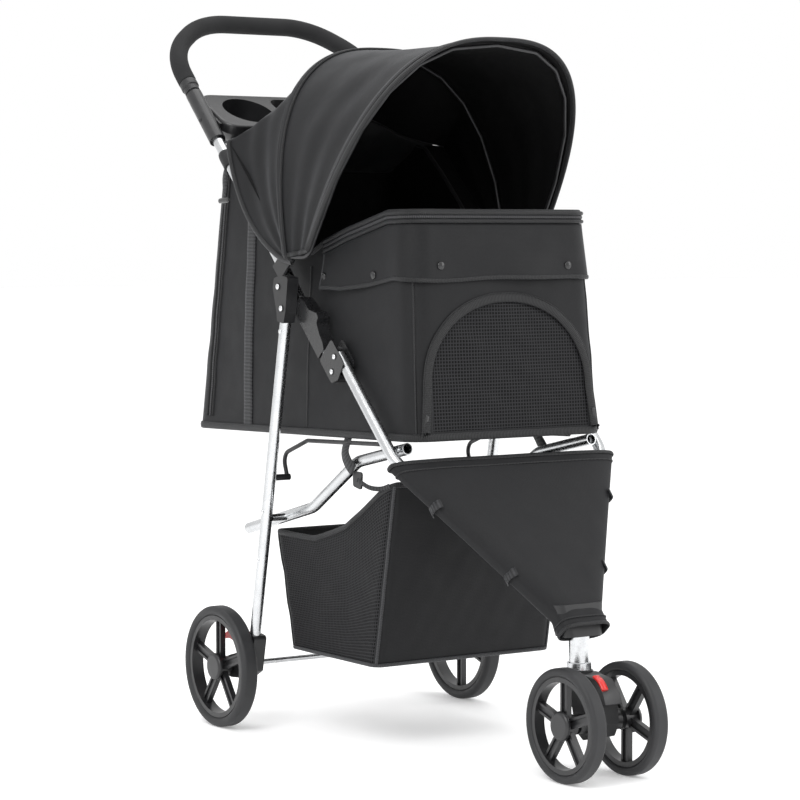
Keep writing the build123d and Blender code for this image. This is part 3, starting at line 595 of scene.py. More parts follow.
# flap hanging from the rim
FLAP_LOW = np.array([(-140, 648), (-60, 650), (0, 640), (60, 632), (118, 634)], float)
FLAP_TOP = np.array([(-140, 723.5), (-44, 721.5), (56, 698), (118, 680.5)], float)
f_top = solve_z(rax, ray, rnx, rny, lambda y: interp(FLAP_TOP, y))
f_low = solve_z(rax, ray, rnx, rny, lambda y: interp(FLAP_LOW, y))
arc_len = np.concatenate([[0], np.cumsum(np.linalg.norm(np.diff(rim_path(0.0, 0.0), axis=0), axis=1))])
wave = np.sin(arc_len / 27.0) * 1.9 + np.sin(arc_len / 61.0 + 1.1) * 2.2 + np.sin(arc_len / 15.0 + 0.4) * 0.7
f_low = f_low + 1.7 * np.sin(arc_len / 54.0 + 0.5) + 0.8 * np.sin(arc_len / 23.0)
FP = []
flap_rows = np.linspace(0, 1, 20)
for r in flap_rows:
    puff = 1.6 + 3.4 * r ** 1.4 + wave * r ** 1.3
    z = f_top + r * (f_low - f_top)
    FP.append(cpt(rax, ray, rnx, rny, z, np.clip(puff, 1.2, 9.0)))
FP = np.stack(FP, 1)
flap = grid("rim_flap_cloth", FP, CLOTH, "front_frame", thick=1.5, side=0.0, flip=True)
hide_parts("rim_flap")
edge = sweep("flap_edge_binding", FP[:, -1] + np.stack([rnx * 0.2, rny * 0.2, 0 * rnx], -1), ell(3.0, 1.7, 12), rup, PIPING, "front_frame")
cabin_pieces += [flap, edge]

# press studs on the flap
snap_spots = []
for s in (-1, 1):
    for (x, y, z) in ((s * 103, None, 667), (None, -8.0, 655), (None, 106.0, 650)):
        if x is None:
            i = int(np.argmin(np.abs(FP[:, 0, 1] - y) + 1e3 * (np.sign(FP[:, 0, 0]) != s)))
        else:
            i = int(np.argmin(np.abs(FP[:, 0, 0] - x) + 1e3 * (FP[:, 0, 1] > -60)))
        j = int(np.argmin(np.abs(FP[i, :, 2] - z)))
        snap_spots.append((FP[i, j] + np.array([rnx[i], rny[i], 0]) * 0.9, (rnx[i], rny[i], 0.0)))
for k, (c, n_) in enumerate(snap_spots):
    o = dome(f"press_stud_{k}", c, n_, 5.6, 3.2, LATCH_PL, "front_frame")
    if k == 0:
        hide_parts("snaps")
    cabin_pieces.append(o)

# floor sheet and the padded mat
FX, FY = np.meshgrid(np.linspace(-1, 1, 40), np.linspace(-1, 1, 66), indexing="ij")
ya0, yb0, hx0 = level(438.0)
gy = (ya0 + yb0) / 2 + FY * ((yb0 - ya0) / 2 - 3.5)
gx = FX * (hx0 - 3.5)
# rounded corners
cxv = np.clip(np.abs(gx) - (hx0 - R_C), 0, None)
cyv = np.clip(np.abs(gy - (ya0 + yb0) / 2) - ((yb0 - ya0) / 2 - R_C), 0, None)
rad = np.sqrt(cxv ** 2 + cyv ** 2)
pull = np.where(rad > 26.5, (rad - 26.5) / np.maximum(rad, 1e-6), 0)
gx = gx - np.sign(gx) * cxv * pull
gy = gy - np.sign(gy - (ya0 + yb0) / 2) * cyv * pull
gz = 440.0 - (gy + 111.5) * 13.7 / 550 - 2.5 * (1 - FX ** 2) * (1 - FY ** 2)
floor_cloth = grid("cabin_floor_cloth", np.stack([gx, gy, gz], -1), CLOTH, "front_frame", thick=2.0, side=-1.0, flip=True)
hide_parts("cabin_floor")
cabin_pieces.append(floor_cloth)


def pad_mesh():
    """The floor mat as a closed quilted slab: two faces and a border."""
    nu, nv = 46, 74
    U, Vv = np.meshgrid(np.linspace(-1, 1, nu), np.linspace(-1, 1, nv), indexing="ij")
    x = U * 143.0
    y = 162.0 + Vv * 262.0
    edge_d = np.minimum((1 - np.abs(U)) * 143.0, (1 - np.abs(Vv)) * 262.0)
    t = 2.6 * np.clip(edge_d / 10.0, 0, 1) ** 0.5
    zc = 445.7 - (y + 104) * 13.4 / 532 - 0.6
    top, bot = np.stack([x, y, zc + t + 0.4], -1), np.stack([x, y, zc - t - 0.4], -1)
    V = np.concatenate([top.reshape(-1, 3), bot.reshape(-1, 3)])
    F = []
    off = nu * nv
    for i in range(nu - 1):
        for j in range(nv - 1):
            a, b, c, d = i * nv + j, (i + 1) * nv + j, (i + 1) * nv + j + 1, i * nv + j + 1
            F.append((a, b, c, d))
            F.append((off + a, off + d, off + c, off + b))
    for i in range(nu - 1):
        for j in (0, nv - 1):
            a, b = i * nv + j, (i + 1) * nv + j
            F.append((a, off + a, off + b, b) if j == 0 else (a, b, off + b, off + a))
    for j in range(nv - 1):
        for i in (0, nu - 1):
            a, b = i * nv + j, i * nv + j + 1
            F.append((a, b, off + b, off + a) if i == 0 else (a, off + a, off + b, b))
    return V, F


mv, mf = pad_mesh()
pad = make("floor_mat_pad", M(mv), mf, MAT_CLOTH, None)
rest_co = None
md = pad.modifiers.new("remesh", "REMESH")
md.mode = "VOXEL"
md.voxel_size = 0.005
dg = bpy.context.evaluated_depsgraph_get()
ev = bpy.data.meshes.new_from_object(pad.evaluated_get(dg))
pad.modifiers.clear()
old = pad.data
pad.data = ev
bpy.data.meshes.remove(old)
pad.data.materials.clear()
pad.data.materials.append(MAT_CLOTH)
rest_co = np.zeros(len(pad.data.vertices) * 3)
pad.data.vertices.foreach_get("co", rest_co)
rest_co = rest_co.reshape(-1, 3)
cl = pad.modifiers.new("cloth", "CLOTH")
cl.settings.use_pressure = True
cl.settings.uniform_pressure_force = 4.0
cl.settings.effector_weights.gravity = 0.0
cl.settings.quality = 5
sc_ = bpy.context.scene
sc_.frame_start, sc_.frame_end = 1, 20
cl.point_cache.frame_start, cl.point_cache.frame_end = 1, 20
for f_ in range(1, 21):
    sc_.frame_set(f_)
dg = bpy.context.evaluated_depsgraph_get()
em = pad.evaluated_get(dg).to_mesh()
co = np.zeros(len(em.vertices) * 3)
em.vertices.foreach_get("co", co)
pad.evaluated_get(dg).to_mesh_clear()
co = co.reshape(-1, 3)
pad.modifiers.clear()
if len(co) == len(rest_co) and np.isfinite(co).all():
    mv_ = co - rest_co
    ln = np.linalg.norm(mv_, axis=1, keepdims=True)
    mv_ = mv_ * np.minimum(1.0, 0.0035 / np.maximum(ln, 1e-9))
    co = rest_co + mv_
    zfloor = 0.4425 - ((co[:, 1] - Y0 / 1000) * 1000 + 104) * 13.4 / 532 / 1000 - 0.0022
    co[:, 2] = np.maximum(co[:, 2], zfloor)
    pad.data.vertices.foreach_set("co", co.ravel())
sc_.frame_set(1)
sub = pad.modifiers.new("sub", "SUBSURF")
sub.levels = sub.render_levels = 1
pad.data.polygons.foreach_set("use_smooth", np.ones(len(pad.data.polygons), bool))
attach(pad, "front_frame")
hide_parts("floor_mat")
mat_edge = []
for k in range(4):
    pass
mc = [(-143, -100), (143, -100), (143, 424), (-143, 424)]
mat_path = []
for (x, y) in mc:
    for k in range(6):
        a = {(-1, -1): math.pi, (1, -1): 1.5 * math.pi, (1, 1): 0, (-1, 1): 0.5 * math.pi}[(int(math.copysign(1, x)), -1 if y < 0 else 1)] + k / 5 * math.pi / 2
        mat_path.append((x - math.copysign(10, x) + 10 * math.cos(a), y - (10 if y > 0 else -10) + 10 * math.sin(a), 0))
mat_path = smooth_path(mat_path, 10.0, closed=True)
mat_path[:, 2] = 445.2 - (mat_path[:, 1] + 104) * 13.4 / 532
cabin_pieces.append(sweep("mat_piping", mat_path, ell(1.9, 1.9, 8), (0, 0, 1), PIPING, "front_frame", closed=True))
cabin_pieces.append(pad)

# ------------------------------------------------------------------ canopy
HUBY, HUBZ = 150.0, 677.0
ARCH_R = [(190.0, 233.0), (176.0, 238.0), (152.0, 244.0), (121.0, 257.0), (98.0, 279.0), (66.0, 302.0), (34.0, 312.0), (0.0, 315.0)]


def knots(table, q):
    """Catmull-Rom through evenly spaced knots, at q."""
    v = np.asarray(table, float)
    q = np.clip(q, 0, len(v) - 1)
    k = np.minimum(np.floor(q).astype(int), len(v) - 2)
    f = q - k
    p0, p1, p2, p3 = v[np.maximum(k - 1, 0)], v[k], v[k + 1], v[np.minimum(k + 2, len(v) - 1)]
    return 0.5 * (2 * p1 + (p2 - p0) * f + (2 * p0 - 5 * p1 + 4 * p2 - p3) * f ** 2 + (3 * p1 - p0 - 3 * p2 + p3) * f ** 3)


def hoop_pt(base_y, phi, half, h, th, s0=2.0):
    m, phi = 2.65, math.radians(phi)
    c, s = np.cos(th), np.clip(np.sin(th), 0, 1)
    x = -half * np.sign(c) * np.abs(c) ** (2 / m)
    r = s0 + (h - s0) * s ** (2 / m)
    return np.stack([x, base_y + r * math.cos(phi), HUBZ + r * math.sin(phi)], -1)


def rear_pt(th):
    q = np.minimum(th, np.pi - th) / np.pi * 28
    side = np.where(th < np.pi / 2, -1.0, 1.0)
    s_side = -12 + 245 * np.clip(np.sin(np.clip(q, 0, 7) * np.pi / 28), 0, 1) ** (2 / 2.65) / math.sin(math.pi / 4) ** (2 / 2.65)
    xa, sa = knots([p[0] for p in ARCH_R], q - 7), knots([p[1] for p in ARCH_R], q - 7)
    x = np.where(q <= 7, 190.0, xa)
    r = np.where(q <= 7, s_side, sa)
    droop = np.where(q <= 7, 37.0 * np.sin(np.pi * np.clip((s_side + 12) / 245, 0, 1)) ** 0.75, 0.0)
    return np.stack([side * (x + 0.05 * droop), 150 + (r + droop) * math.sqrt(0.5), HUBZ + (r - droop) * math.sqrt(0.5)], -1)


def hood_base(t, th):
    t, th = np.clip(t, 0, 4), np.clip(th, 0, np.pi)
    a, b, c = rear_pt(th), hoop_pt(150.0, 78.4, 195.5, 303.0, th), hoop_pt(98.0, 123.5, 195.0, 352.0, th, 12.0)
    f = np.clip(t / 2, 0, 1)[..., None]
    g = np.clip((t - 2) / 2, 0, 1)[..., None]
    return np.where((t < 2)[..., None], (1 - f) * a + f * b, (1 - g) * b + g * c)


def hood(t, th, off=0.0):
    t, th = np.broadcast_arrays(np.asarray(t, float), np.asarray(th, float))
    e = 0.02
    p = hood_base(t, th)
    dt = hood_base(t + e, th) - hood_base(t - e, th)
    dh = hood_base(t, th + e) - hood_base(t, th - e)
    nrm = np.cross(dt, dh)
    nrm = nrm / (np.linalg.norm(nrm, axis=-1, keepdims=True) + 1e-9)
    c, s = np.cos(th), np.clip(np.sin(th), 0, 1)
    between = np.where(t < 2, np.sin(np.pi * np.clip(t / 2, 0, 1)), np.sin(np.pi * np.clip((t - 2) / 2, 0, 1)))
    lines = np.sin(th * 8.0 + 1.3 * t + 0.6) * 1.3 + np.sin(th * 15.0 - 2.2 * t) * 0.6
    drag = np.sin(9.5 * t + 7.0 * c + 0.8) * np.abs(c) * 1.3
    d = between * (-2.6 - 2.4 * s + lines + drag) + off - 0.8
    return p + nrm * d[..., None], nrm


TH = np.pi * (0.5 - 0.5 * np.cos(np.linspace(0, np.pi, 121))) * 0.6 + 0.4 * np.linspace(0, np.pi, 121)
TT = np.linspace(0, 4, 81)
T2, H2 = np.meshgrid(TT, TH, indexing="ij")
HP, HN = hood(T2, H2)
canopy = grid("canopy_cloth", HP, CLOTH_TOP, None, thick=1.8, side=-1.0, mats=[CLOTH_TOP, PAINTED_SHADE_CLOTH], flip=False)
# the underside of the canopy takes the darker cloth: painted shade
canopy.modifiers["thickness"].material_offset = 1
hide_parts("canopy")
canopy_pieces.append(canopy)


def hood_line(ts, ths, off):
    p, n_ = hood(ts, ths, off)
    return p, n_


th_f = np.linspace(0, np.pi, 150)


def hood_rib(name, t, w, h, off, mat):
    p, n_ = hood_line(np.full_like(th_f, t), th_f, off)
    o = sweep(name, p, ell(w, h, 12), n_, mat, None)
    canopy_pieces.append(o)
    return o


hood_rib("hood_front_binding", 3.985, 5.2, 2.8, 0.6, PIPING)
hood_rib("hood_front_zip", 3.83, 2.4, 1.0, 1.3, TEETH)
hood_rib("hood_front_tape", 3.83, 5.6, 0.8, 0.9, PIPING)
hood_rib("hood_mid_piping_a", 2.07, 1.7, 1.9, 1.5, PIPING)
hood_rib("hood_mid_piping_b", 1.93, 1.7, 1.9, 1.5, PIPING)
hood_rib("hood_mid_sleeve", 2.0, 6.5, 1.7, 0.9, CLOTH_TOP)
hood_rib("hood_rear_binding", 0.02, 4.0, 2.2, 0.2, PIPING)
for th0, lab in ((0.0, "right"), (np.pi, "left")):
    p, n_ = hood_line(TT, np.full_like(TT, th0), 0.2)
    canopy_pieces.append(sweep(f"hood_side_binding_{lab}", p, ell(3.4, 1.9, 12), (-1 if th0 == 0 else 1, 0, 0), PIPING, None))
# panel that closes the space between the rear wall and the rear edge of the hood
ax_ = np.linspace(-1, 1, 61)
fr = np.linspace(0, 1, 24)
RP = []
for u_ in ax_:
    xl = 141.0 * u_
    yl = 419.0 - (30 * (1 - math.sqrt(max(0.0, 1 - min(1.0, max(0.0, (abs(xl) - 112) / 30)) ** 2))))
    xu = 168.0 * u_
    su = float(np.interp(abs(xu), [p[0] for p in ARCH_R][::-1], [p[1] for p in ARCH_R][::-1])) - 1.5
    yu, zu = 148 + su * math.sqrt(0.5), 675 + su * math.sqrt(0.5)
    row = []
    for f in fr:
        c = np.array([(1 - f) ** 3, 3 * (1 - f) ** 2 * f, 3 * (1 - f) * f * f, f ** 3])
        y = c @ np.array([yl, yl - 22, min(yu + 8, 352), yu])
        z = c @ np.array([803, 812, zu - 34 if zu > 870 else zu - 16, zu])
        row.append((xl + (xu - xl) * f, y, z - 1.5 * math.sin(9 * u_) * math.sin(math.pi * f)))
    RP.append(row)
for s_, lab_ in ((-1, "right"), (1, "left")):
    GP = []
    for y_ in np.linspace(176, 345, 40):
        zt_ = float(interp(TOP_LINE, y_)) - 2
        hx_l = float(level(zt_)[2])
        a_pt = np.array([s_ * (hx_l - 1.0), y_, zt_])
        r_ = float(np.clip((y_ - 150) / math.sqrt(0.5), 37, 231))
        b_pt = np.array([s_ * 187.2, 150 + r_ * math.sqrt(0.5), HUBZ + r_ * math.sqrt(0.5) - 1.0])
        GP.append([a_pt * (1 - f_) + b_pt * f_ + np.array([0, 0, 2.0 * math.sin(math.pi * f_)]) for f_ in np.linspace(0, 1, 10)])
    # the gussets are the darker cloth: painted shade under the hood
    cabin_pieces.append(grid(f"hood_gusset_{lab_}", np.array(GP), PAINTED_SHADE_CLOTH, "front_frame", thick=1.4, side=0.0))
rear_panel = grid("hood_rear_panel", np.array(RP), CLOTH, "front_frame", thick=1.6, side=-1.0)
cabin_pieces.append(rear_panel)

# ------------------------------------------------------------------ basket
BL, BH, R_B = (119.0, -4.0, 214.0, 147.6), (389.0, -57.0, 281.0, 149.5), 14.0
BK_TOP = np.array([(-90, 373.5), (-52, 373.5), (-20, 361), (24, 335), (68, 311), (106, 300), (150, 288), (262, 283.5), (330, 283.5)], float)


def blevel(z):
    t = (np.asarray(z, float) - BL[0]) / (BH[0] - BL[0])
    return (BL[1] + t * (BH[1] - BL[1]), BL[2] + t * (BH[2] - BL[2]), BL[3] + t * (BH[3] - BL[3]))


def bpt(ax, ay, nx, ny, z, off=0.0, soft=True):
    ax, ay, nx, ny, z = np.broadcast_arrays(*[np.asarray(v, float) for v in (ax, ay, nx, ny, z)])
    ya, yb, hx = blevel(z)
    x = ax * (hx - R_B) + R_B * nx
    y = (ya + yb) / 2 + ay * ((yb - ya) / 2 - R_B) + R_B * ny
    d = np.zeros_like(z)
    if soft:
        v = np.clip((z - 119) / 190, 0, 1)
        swell = np.sin(np.pi * np.clip(v, 0, 1))
        side = np.clip(1 - ay ** 2, 0, 1)
        p = np.stack([x, y, z], -1)
        d = -5.0 * swell * side + 2.5 * swell * (1 - ax ** 2) * (ny < -0.5) - 3.0 * swell * (1 - ax ** 2) * (ny > 0.5)
        d = d + ripple(p, 38, 1.3, 0.9) * (0.3 + 0.7 * swell)
    d = d + off
    return np.stack([x + nx * d, y + ny * d, z], -1)


def b_samples(step=6.0):
    out = []
    nc = 6
    for f in np.linspace(0, -1, 22, endpoint=False):
        out.append((f, 1, 0, 1))
    for k in range(nc):
        a = math.pi / 2 + (math.pi / 2) * k / nc
        out.append((-1, 1, math.cos(a), math.sin(a)))
    for f in np.linspace(1, -1, 48, endpoint=False):
        out.append((-1, f, -1, 0))
    for k in range(nc):
        a = math.pi + (math.pi / 2) * k / nc
        out.append((-1, -1, math.cos(a), math.sin(a)))
    for f in np.linspace(-1, 1, 48, endpoint=False):
        out.append((f, -1, 0, -1))
    for k in range(nc):
        a = 1.5 * math.pi + (math.pi / 2) * k / nc
        out.append((1, -1, math.cos(a), math.sin(a)))
    for f in np.linspace(-1, 1, 48, endpoint=False):
        out.append((1, f, 1, 0))
    for k in range(nc):
        a = (math.pi / 2) * k / nc
        out.append((1, 1, math.cos(a), math.sin(a)))
    for f in np.linspace(1, 0, 22, endpoint=False):
        out.append((f, 1, 0, 1))
    return np.array(out, float)


BS = b_samples()
bax, bay, bnx, bny = BS.T


def b_solve(fn):
    z = np.full(len(bax), 300.0)
    for _ in range(60):
        p = bpt(bax, bay, bnx, bny, z, soft=False)
        z = 0.5 * z + 0.5 * fn(p[:, 1])
    return z


bz_top = b_solve(lambda y: interp(BK_TOP, y) - 1.0)
# the near and far mesh edges hang a little between their corners
dip = np.clip(1 - bay ** 2, 0, 1) * (np.abs(bnx) > 0.9)
bz_top = bz_top - 5.0 * dip
b_rows = np.linspace(0, 1, 44)
BP = np.stack([bpt(bax, bay, bnx, bny, 121.5 + r * (bz_top - 121.5)) for r in b_rows], 1)
mesh_side = (np.abs(bnx) > 0.9)
basket = grid("basket_shell", BP, CLOTH, "brace", cu=True, thick=1.8, side=-1.0,
              mats=[CLOTH, NET_SIDE], index=lambda i, j: 1 if mesh_side[i] else 0, flip=False)
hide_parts("basket_front", "basket_rear", "basket_side_right", "basket_side_left")
basket_pieces.append(basket)
bup = np.stack([bnx, bny, np.zeros_like(bnx)], -1)
basket_pieces.append(sweep("basket_top_binding", bpt(bax, bay, bnx, bny, bz_top, 0.0), ell(2.4, 4.0, 12), (0, 0, 1), PIPING, "brace", closed=True))
basket_pieces.append(sweep("basket_bottom_piping", bpt(bax, bay, bnx, bny, 121.5, 0.6), ell(2.6, 2.2, 10), bup, PIPING_LIGHT, "brace", closed=True))
for s in (-1, 1):
    for fy, lab in ((-1, "front"), (1, "rear")):
        a0 = math.atan2(fy, s)
        cx, cy = math.cos(a0), math.sin(a0)
        k = int(np.argmin((bax - s) ** 2 + (bay - fy) ** 2 + (bnx - cx) ** 2 + (bny - cy) ** 2))
        zz = np.linspace(123, bz_top[k] - 1, 40)
        path = bpt(float(s), float(fy), cx, cy, zz, 0.8)
        basket_pieces.append(sweep(f"basket_piping_{lab}_{'left' if s > 0 else 'right'}", path, ell(2.3, 2.0, 10), (cx, cy, 0),
                                   PIPING_LIGHT if fy < 0 else PIPING, "brace"))
# bottom panel, sagging
FX, FY = np.meshgrid(np.linspace(-1, 1, 36), np.linspace(-1, 1, 30), indexing="ij")
gx, gy = FX * 145.5, 105 + FY * 107.0
cxv, cyv = np.clip(np.abs(gx) - 133, 0, None), np.clip(np.abs(gy - 105) - 94, 0, None)
rad = np.sqrt(cxv ** 2 + cyv ** 2)
pull = np.where(rad > 11.5, (rad - 11.5) / np.maximum(rad, 1e-6), 0)
gx, gy = gx - np.sign(gx) * cxv * pull, gy - np.sign(gy - 105) * cyv * pull
gz = 122.0 - 6.0 * (1 - FX ** 2) * (1 - FY ** 2) + ripple(np.stack([gx, gy, 0 * gx], -1), 40, 0.8)
bb = grid("basket_floor", np.stack([gx, gy, gz], -1), CLOTH, "brace", thick=2.0, side=-1.0, flip=True)
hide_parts("basket_bottom")
basket_pieces.append(bb)


# ------------------------------------------------------------------ apron over the front legs
AT, AB = np.array([0, -97.0, 400.3]), np.array([0, -246.0, 226.0])
LB, LE = np.array([-172.5, -90.0, 408.5]), np.array([-22.0, -259.0, 211.0])
axis = np.array([0, (LE - LB)[1], (LE - LB)[2]])
axis = axis / np.linalg.norm(axis)
depth_dir = np.cross(axis, (1, 0, 0))
depth_dir = depth_dir / np.linalg.norm(depth_dir)
if depth_dir[1] > 0:
    depth_dir = -depth_dir


def ap_pt(t, a, off=0.0):
    t, a = np.broadcast_arrays(np.asarray(t, float), np.asarray(a, float))
    w = np.maximum(186.0 + t * (51.0 - 186.0), 37.0 + 3.0 * np.clip(1.25 - t, 0, 1))
    d = 12.25 + t * (16.5 - 12.25)
    n = 5.5
    c, s = np.cos(a), np.sin(a)
    # flat sleeve: round edges on the legs, near-flat faces
    x = np.sign(c) * (w - d) * np.abs(c) ** 0.35 + d * np.sign(c) * np.abs(c) ** 0.9
    y = d * np.sign(s) * np.abs(s) ** 0.55
    inner = np.clip(1 - (x / w) ** 2, 0, 1)
    sag = -2.8 * inner * np.sin(np.pi * np.clip(t, 0, 1)) * np.sign(s) * np.abs(s) ** 0.5
    p = AT[None] * (1 - t[..., None]) + AB[None] * t[..., None]
    rip = ripple(np.stack([x, 40 * t, 120 * t], -1), 34, 0.8, 2.2) * inner
    return p + x[..., None] * np.array([1.0, 0, 0]) + (y + sag + rip * np.sign(s) + off * np.sign(s))[..., None] * depth_dir


A_, T_ = np.linspace(0, 2 * np.pi, 121)[:-1], np.linspace(0.0, 1.2, 60)
AA, TTa = np.meshgrid(A_, T_, indexing="ij")
apron = grid("apron_sleeve", ap_pt(TTa, AA), APRON_MAT, "front_frame", cu=True, thick=1.6, side=-1.0, flip=False)
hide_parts("apron")
for tt, nm, w_ in ((0.0, "apron_top_binding", 3.0), (0.055, "apron_top_hem", 1.2), (1.2, "apron_foot_binding", 3.0), (1.15, "apron_foot_hem", 1.2)):
    path = ap_pt(np.full(240, tt), np.linspace(0, 2 * np.pi, 241)[:-1], 0.4)
    cen = AT * (1 - tt) + AB * tt
    upv = path - cen
    upv[:, 0] *= 0.02
    sweep(nm, path, ell(w_, 1.3, 10), upv, PIPING, "front_frame", closed=True)
# belt loops on the right and left edges
for s in (-1, 1):
    for t0 in (0.30, 0.80):
        w = 186.0 + t0 * (51.0 - 186.0)
        cen = AT * (1 - t0) + AB * t0
        k = np.linspace(-1.15, 1.15, 16)
        path = np.array([cen + np.array([s * (w - 11.0 + 13.2 * math.cos(q)), 0, 0]) + 14.6 * math.sin(q) * depth_dir for q in k])
        upv = np.array([np.array([s * math.cos(q), 0, 0]) + math.sin(q) * depth_dir for q in k])
        sweep(f"apron_loop_{'l' if s > 0 else 'r'}{int(t0 * 100)}", path, [(-6, -0.7), (6, -0.7), (6.4, 0), (6, 0.8), (-6, 0.8), (-6.4, 0)], upv, WEBBING, "front_frame")

# ------------------------------------------------------------------ straps under the cabin, at the tray and on the tubes
flat = [(-9, -0.8), (9, -0.8), (9.4, 0), (9, 0.8), (-9, 0.8), (-9.4, 0)]
thin = [(-3, -0.6), (3, -0.6), (3.3, 0), (3, 0.6), (-3, 0.6), (-3.3, 0)]
for s, lab in ((-1, "right"), (1, "left")):
    p = smooth_path([(s * 157, 47, 432), (s * 166, 42, 412), (s * 167.6, 32, 398), (s * 165.6, 22, 388)], 4.0)
    o = sweep(f"hanger_strap_{lab}", p, flat, (s, 0, 0), WEBBING, "front_frame")
    cabin_pieces.append(o)
    p = smooth_path([(s * 165.4, 12, 376), (s * 160, -8, 367), (s * 154, -28, 366), (s * 150.6, -44, 371)], 4.0)
    basket_pieces.append(sweep(f"basket_tie_{lab}", p, thin, (s, 0, 0), WEBBING, "brace"))


def un(x, u, n):
    return np.array([x, (u - n) / math.sqrt(2), (u + n) / math.sqrt(2)])


def tube_collar(name, x, u0, u1, r, mat, body):
    us = np.linspace(u0, u1, 9)
    prof = [r * (1 - 0.10 * abs(2 * k / 8 - 1) ** 4) for k in range(9)]
    P = []
    n = 28
    for u, rr in zip(us, prof):
        P.append([un(x, u, 333.4) + rr * (math.cos(a) * np.array([1.0, 0, 0]) + math.sin(a) * np.array([0, -1, 1]) / math.sqrt(2)) for a in np.linspace(0, 2 * np.pi, n, endpoint=False)])
    P = np.array(P)
    return grid(name, P, mat, body, cv=True, thick=1.6, side=-1.0, flip=False)


for s, lab in ((-1, "right"), (1, "left")):
    tube_collar(f"sleeve_collar_{lab}", s * 172.5, 806, 834, 10.6, PIPING, "handle")
    a = un(s * 172.5, 818, 333.4) + np.array([0, 6, -10])
    p = smooth_path([a, a + np.array([s * 1.0, 4, -14]), a + np.array([s * 2.0, 2, -30]), a + np.array([s * 1.0, 6, -42])], 3.0)
    sweep(f"collar_strap_{lab}", p, [(-5, -0.7), (5, -0.7), (5.3, 0), (5, 0.7), (-5, 0.7), (-5.3, 0)], (s, 0, 0), WEBBING, "handle")
    c = a + np.array([s * 1.0, 6, -46])
    q = smooth_path([c + np.array([0, -15, 0.5]), c, c + np.array([0, 15, -1.0])], 3.0)
    sweep(f"collar_clip_{lab}", q, ell(4.2, 2.6, 12), (s, 0, 0), LATCH_PL, "handle",
          scale=np.interp(np.linspace(0, 1, len(q)), [0, 0.08, 0.5, 0.92, 1], [0.55, 0.95, 1.0, 0.85, 0.45]))

# skirt below the tray rim
TC, TLT = np.array([0, 412.0, 892.0]), math.radians(28)
tv, tn = np.array([0, math.cos(TLT), math.sin(TLT)]), np.array([0, -math.sin(TLT), math.cos(TLT)])
ring = []
for (qx, qy, a0) in ((1, 1, 0), (-1, 1, 90), (-1, -1, 180), (1, -1, 270)):
    for k in range(9):
        ring.append((qx, qy, math.radians(a0 + 90 * k / 8)))
SK = []
for (qx, qy, a) in ring:
    row = []
    for f in np.linspace(0, 1, 12):
        inset = 1.0 + 13.0 * f ** 1.6
        r = 26.0 - 8 * f
        x = qx * (161.0 - inset - r) + r * math.cos(a)
        y = qy * (54.0 - inset - r) + r * math.sin(a)
        row.append(TC + np.array([x, 0, 0]) + y * tv - (2.0 + 32.0 * f) * tn)
    SK.append(row)
grid("tray_skirt", np.array(SK), TRAY_PL, "handle", cu=True, thick=2.2, side=-1.0, flip=True)
red = smooth_path([(-9.0, -313.0, 136.5), (-9.0, -324.0, 131.0), (-9.0, -333.0, 121.0)], 2.0)
sweep("lever_tab", red, [(-4.5, -1.5), (4.5, -1.5), (5, 0), (4.5, 1.8), (-4.5, 1.8), (-5, 0)], (0, -0.6, 0.8), RED_PL, "lock_lever")

# tray screws and rivets with a domed head
for s in (-1, 1):
    c = un(s * 184.3, 905, 333.4)
    dome(f"tray_screw_{'l' if s > 0 else 'r'}", c, (s, 0, 0), 3.6, 1.6, BLACK_STEEL, "handle")
    for k, (u, n) in enumerate(((414.7, 352.5), (404.5, 333.4))):
        c = un(s * 182.6, u, n)
        dome(f"housing_rivet_{'l' if s > 0 else 'r'}{k}", c, (s, 0, 0), 3.7, 1.9, RIVET, "handle")
    for k, (y, z) in enumerate(((160.0, 636.0), (153.6 + 0.1927 * (594.3 - 606), 606.0))):
        dome(f"bracket_rivet_{'l' if s > 0 else 'r'}{k}", (s * 201.4, y, z), (s, 0, 0), 4.0, 1.9, RIVET, "rear_frame")
    for k, z in enumerate((574.0, 318.0, 248.0)):
        dome(f"leg_rivet_{'l' if s > 0 else 'r'}{k}", (s * 199.3, 153.6 + 0.1927 * (594.3 - z), z), (s, 0, 0), 3.2, 1.5, RIVET, "rear_frame")

# ------------------------------------------------------------------ soft pieces: own mesh data for the cabin and basket pieces, which ride on their body empties; the canopy pieces are baked in place on no body, and the hinge points b0, b1 are not used
for o in cabin_pieces:
    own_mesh(o)
for o in basket_pieces:
    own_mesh(o)
b0, b1 = M((0, 372.7, 899.7)), M((0, -96.0, 970.0))
for o in canopy_pieces:
    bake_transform(o)


# ------------------------------------------------------------------ CAD nodes that stay: finer edges and finishes
def finish_node(name, mat, bevel=0.0, segs=2):
    o = N[name]
    o.data.materials.clear()
    o.data.materials.append(mat)
    o.data.polygons.foreach_set("material_index", np.zeros(len(o.data.polygons), np.int32))
    if bevel:
        w = o.modifiers.new("weld", "WELD")
        w.merge_threshold = 0.00002
        b = o.modifiers.new("bevel", "BEVEL")
        b.width = bevel / 1000
        b.segments = segs
        b.limit_method = "ANGLE"
        b.angle_limit = math.radians(38)
        b.use_clamp_overlap = True
        b.harden_normals = False
        wn = o.modifiers.new("normals", "WEIGHTED_NORMAL")
        wn.keep_sharp = False
        wn.weight = 60


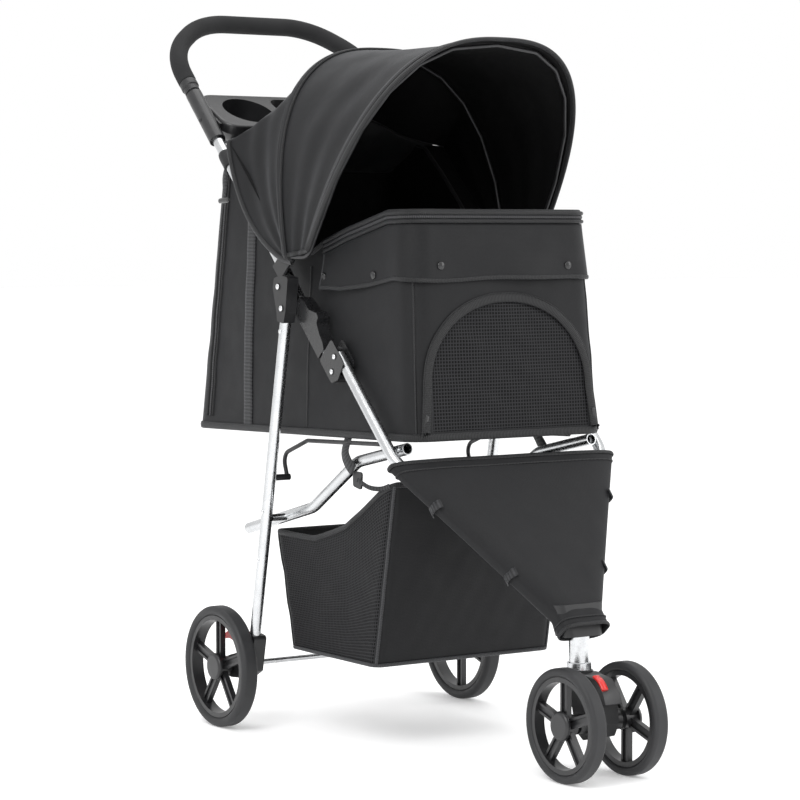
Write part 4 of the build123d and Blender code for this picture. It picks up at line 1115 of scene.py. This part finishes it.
for n in N:
    if n.startswith(("front_leg_", "rear_leg_", "brace_")) or n == "handle_tube":
        finish_node(n, SILVER)
    elif n.startswith("floor_rod") or n in ("bow_front", "bow_mid"):
        finish_node(n, BLACK_STEEL)
    elif n.endswith("axle"):
        finish_node(n, AXLE)
    elif "tyre" in n:
        finish_node(n, TYRE)
    elif "rim_" in n and n not in ("rim_flap",):
        finish_node(n, RIM_PL, 0.7)
    elif n.startswith("latch_"):
        finish_node(n, LATCH_PL, 1.2, 3)
    elif n == "cup_tray":
        finish_node(n, TRAY_PL, 1.4, 3)
    elif n == "foam_grip":
        finish_node(n, FOAM, 2.5, 3)
    elif n.startswith("brake_"):
        finish_node(n, RED_PL, 0.8)
    elif n == "stem":
        finish_node(n, SILVER, 0.5)
    elif n in ("leg_joiner", "caster_lever", "caster_fork", "grip_collars", "canopy_hubs") or n.startswith(("leg_bracket", "hub_bracket", "strap_clip")):
        finish_node(n, BLACK_PL, 0.9, 2)

# ------------------------------------------------------------------ stage, light and camera
bpy.ops.mesh.primitive_plane_add(size=60, location=(0, 0, 0))
floor = bpy.context.object
floor.name = "floor"
fm, fnt, fb = setup("floor_paper", (0.93, 0.93, 0.932), 0.6, spec=0.2)
fb.inputs["Emission Color"].default_value = (1, 1, 1, 1)
fb.inputs["Emission Strength"].default_value = 0.22
floor.data.materials.append(fm)

world = bpy.data.worlds.new("studio")
bpy.context.scene.world = world
world.use_nodes = True
world.node_tree.nodes["Background"].inputs[0].default_value = (1.0, 1.0, 1.0, 1)
world.node_tree.nodes["Background"].inputs[1].default_value = 1.0


def area(name, loc, target, size, power, col=(1, 1, 1)):
    d = bpy.data.lights.new(name, "AREA")
    d.shape = "RECTANGLE"
    d.size, d.size_y = size
    d.energy = power
    d.color = col
    o = bpy.data.objects.new(name, d)
    bpy.context.scene.collection.objects.link(o)
    o.location = loc
    o.rotation_euler = (Vector(target) - Vector(loc)).to_track_quat("-Z", "Y").to_euler()
    return o


area("key", (-2.2, -1.4, 2.6), (0, 0, 0.5), (1.6, 1.6), 55)
area("fill", (2.6, -2.0, 1.8), (0, 0, 0.5), (1.6, 2.0), 34)
area("top", (0.2, 0.4, 3.4), (0, 0, 0.5), (2.4, 2.4), 34)

cam_data = bpy.data.cameras.new("camera")
cam = bpy.data.objects.new("camera", cam_data)
bpy.context.scene.collection.objects.link(cam)
cam_data.lens = 122.0
cam_data.sensor_width = 36.0
cam_data.clip_end = 200.0
a_, e_ = math.radians(-33.78), math.radians(3.47)
back = Vector((math.sin(a_) * math.cos(e_), -math.cos(a_) * math.cos(e_), math.sin(e_)))
right = Vector((math.cos(a_), math.sin(a_), 0))
upc = back.cross(right)
rot = Matrix((right, upc, back)).transposed()
rot = rot @ Matrix.Rotation(math.radians(-0.07), 3, "Z")
cam.matrix_world = Matrix.Translation((-2.1555, -3.1635, 0.7067)) @ rot.to_4x4()
bpy.context.scene.camera = cam
bpy.context.scene.view_settings.view_transform = "Standard"
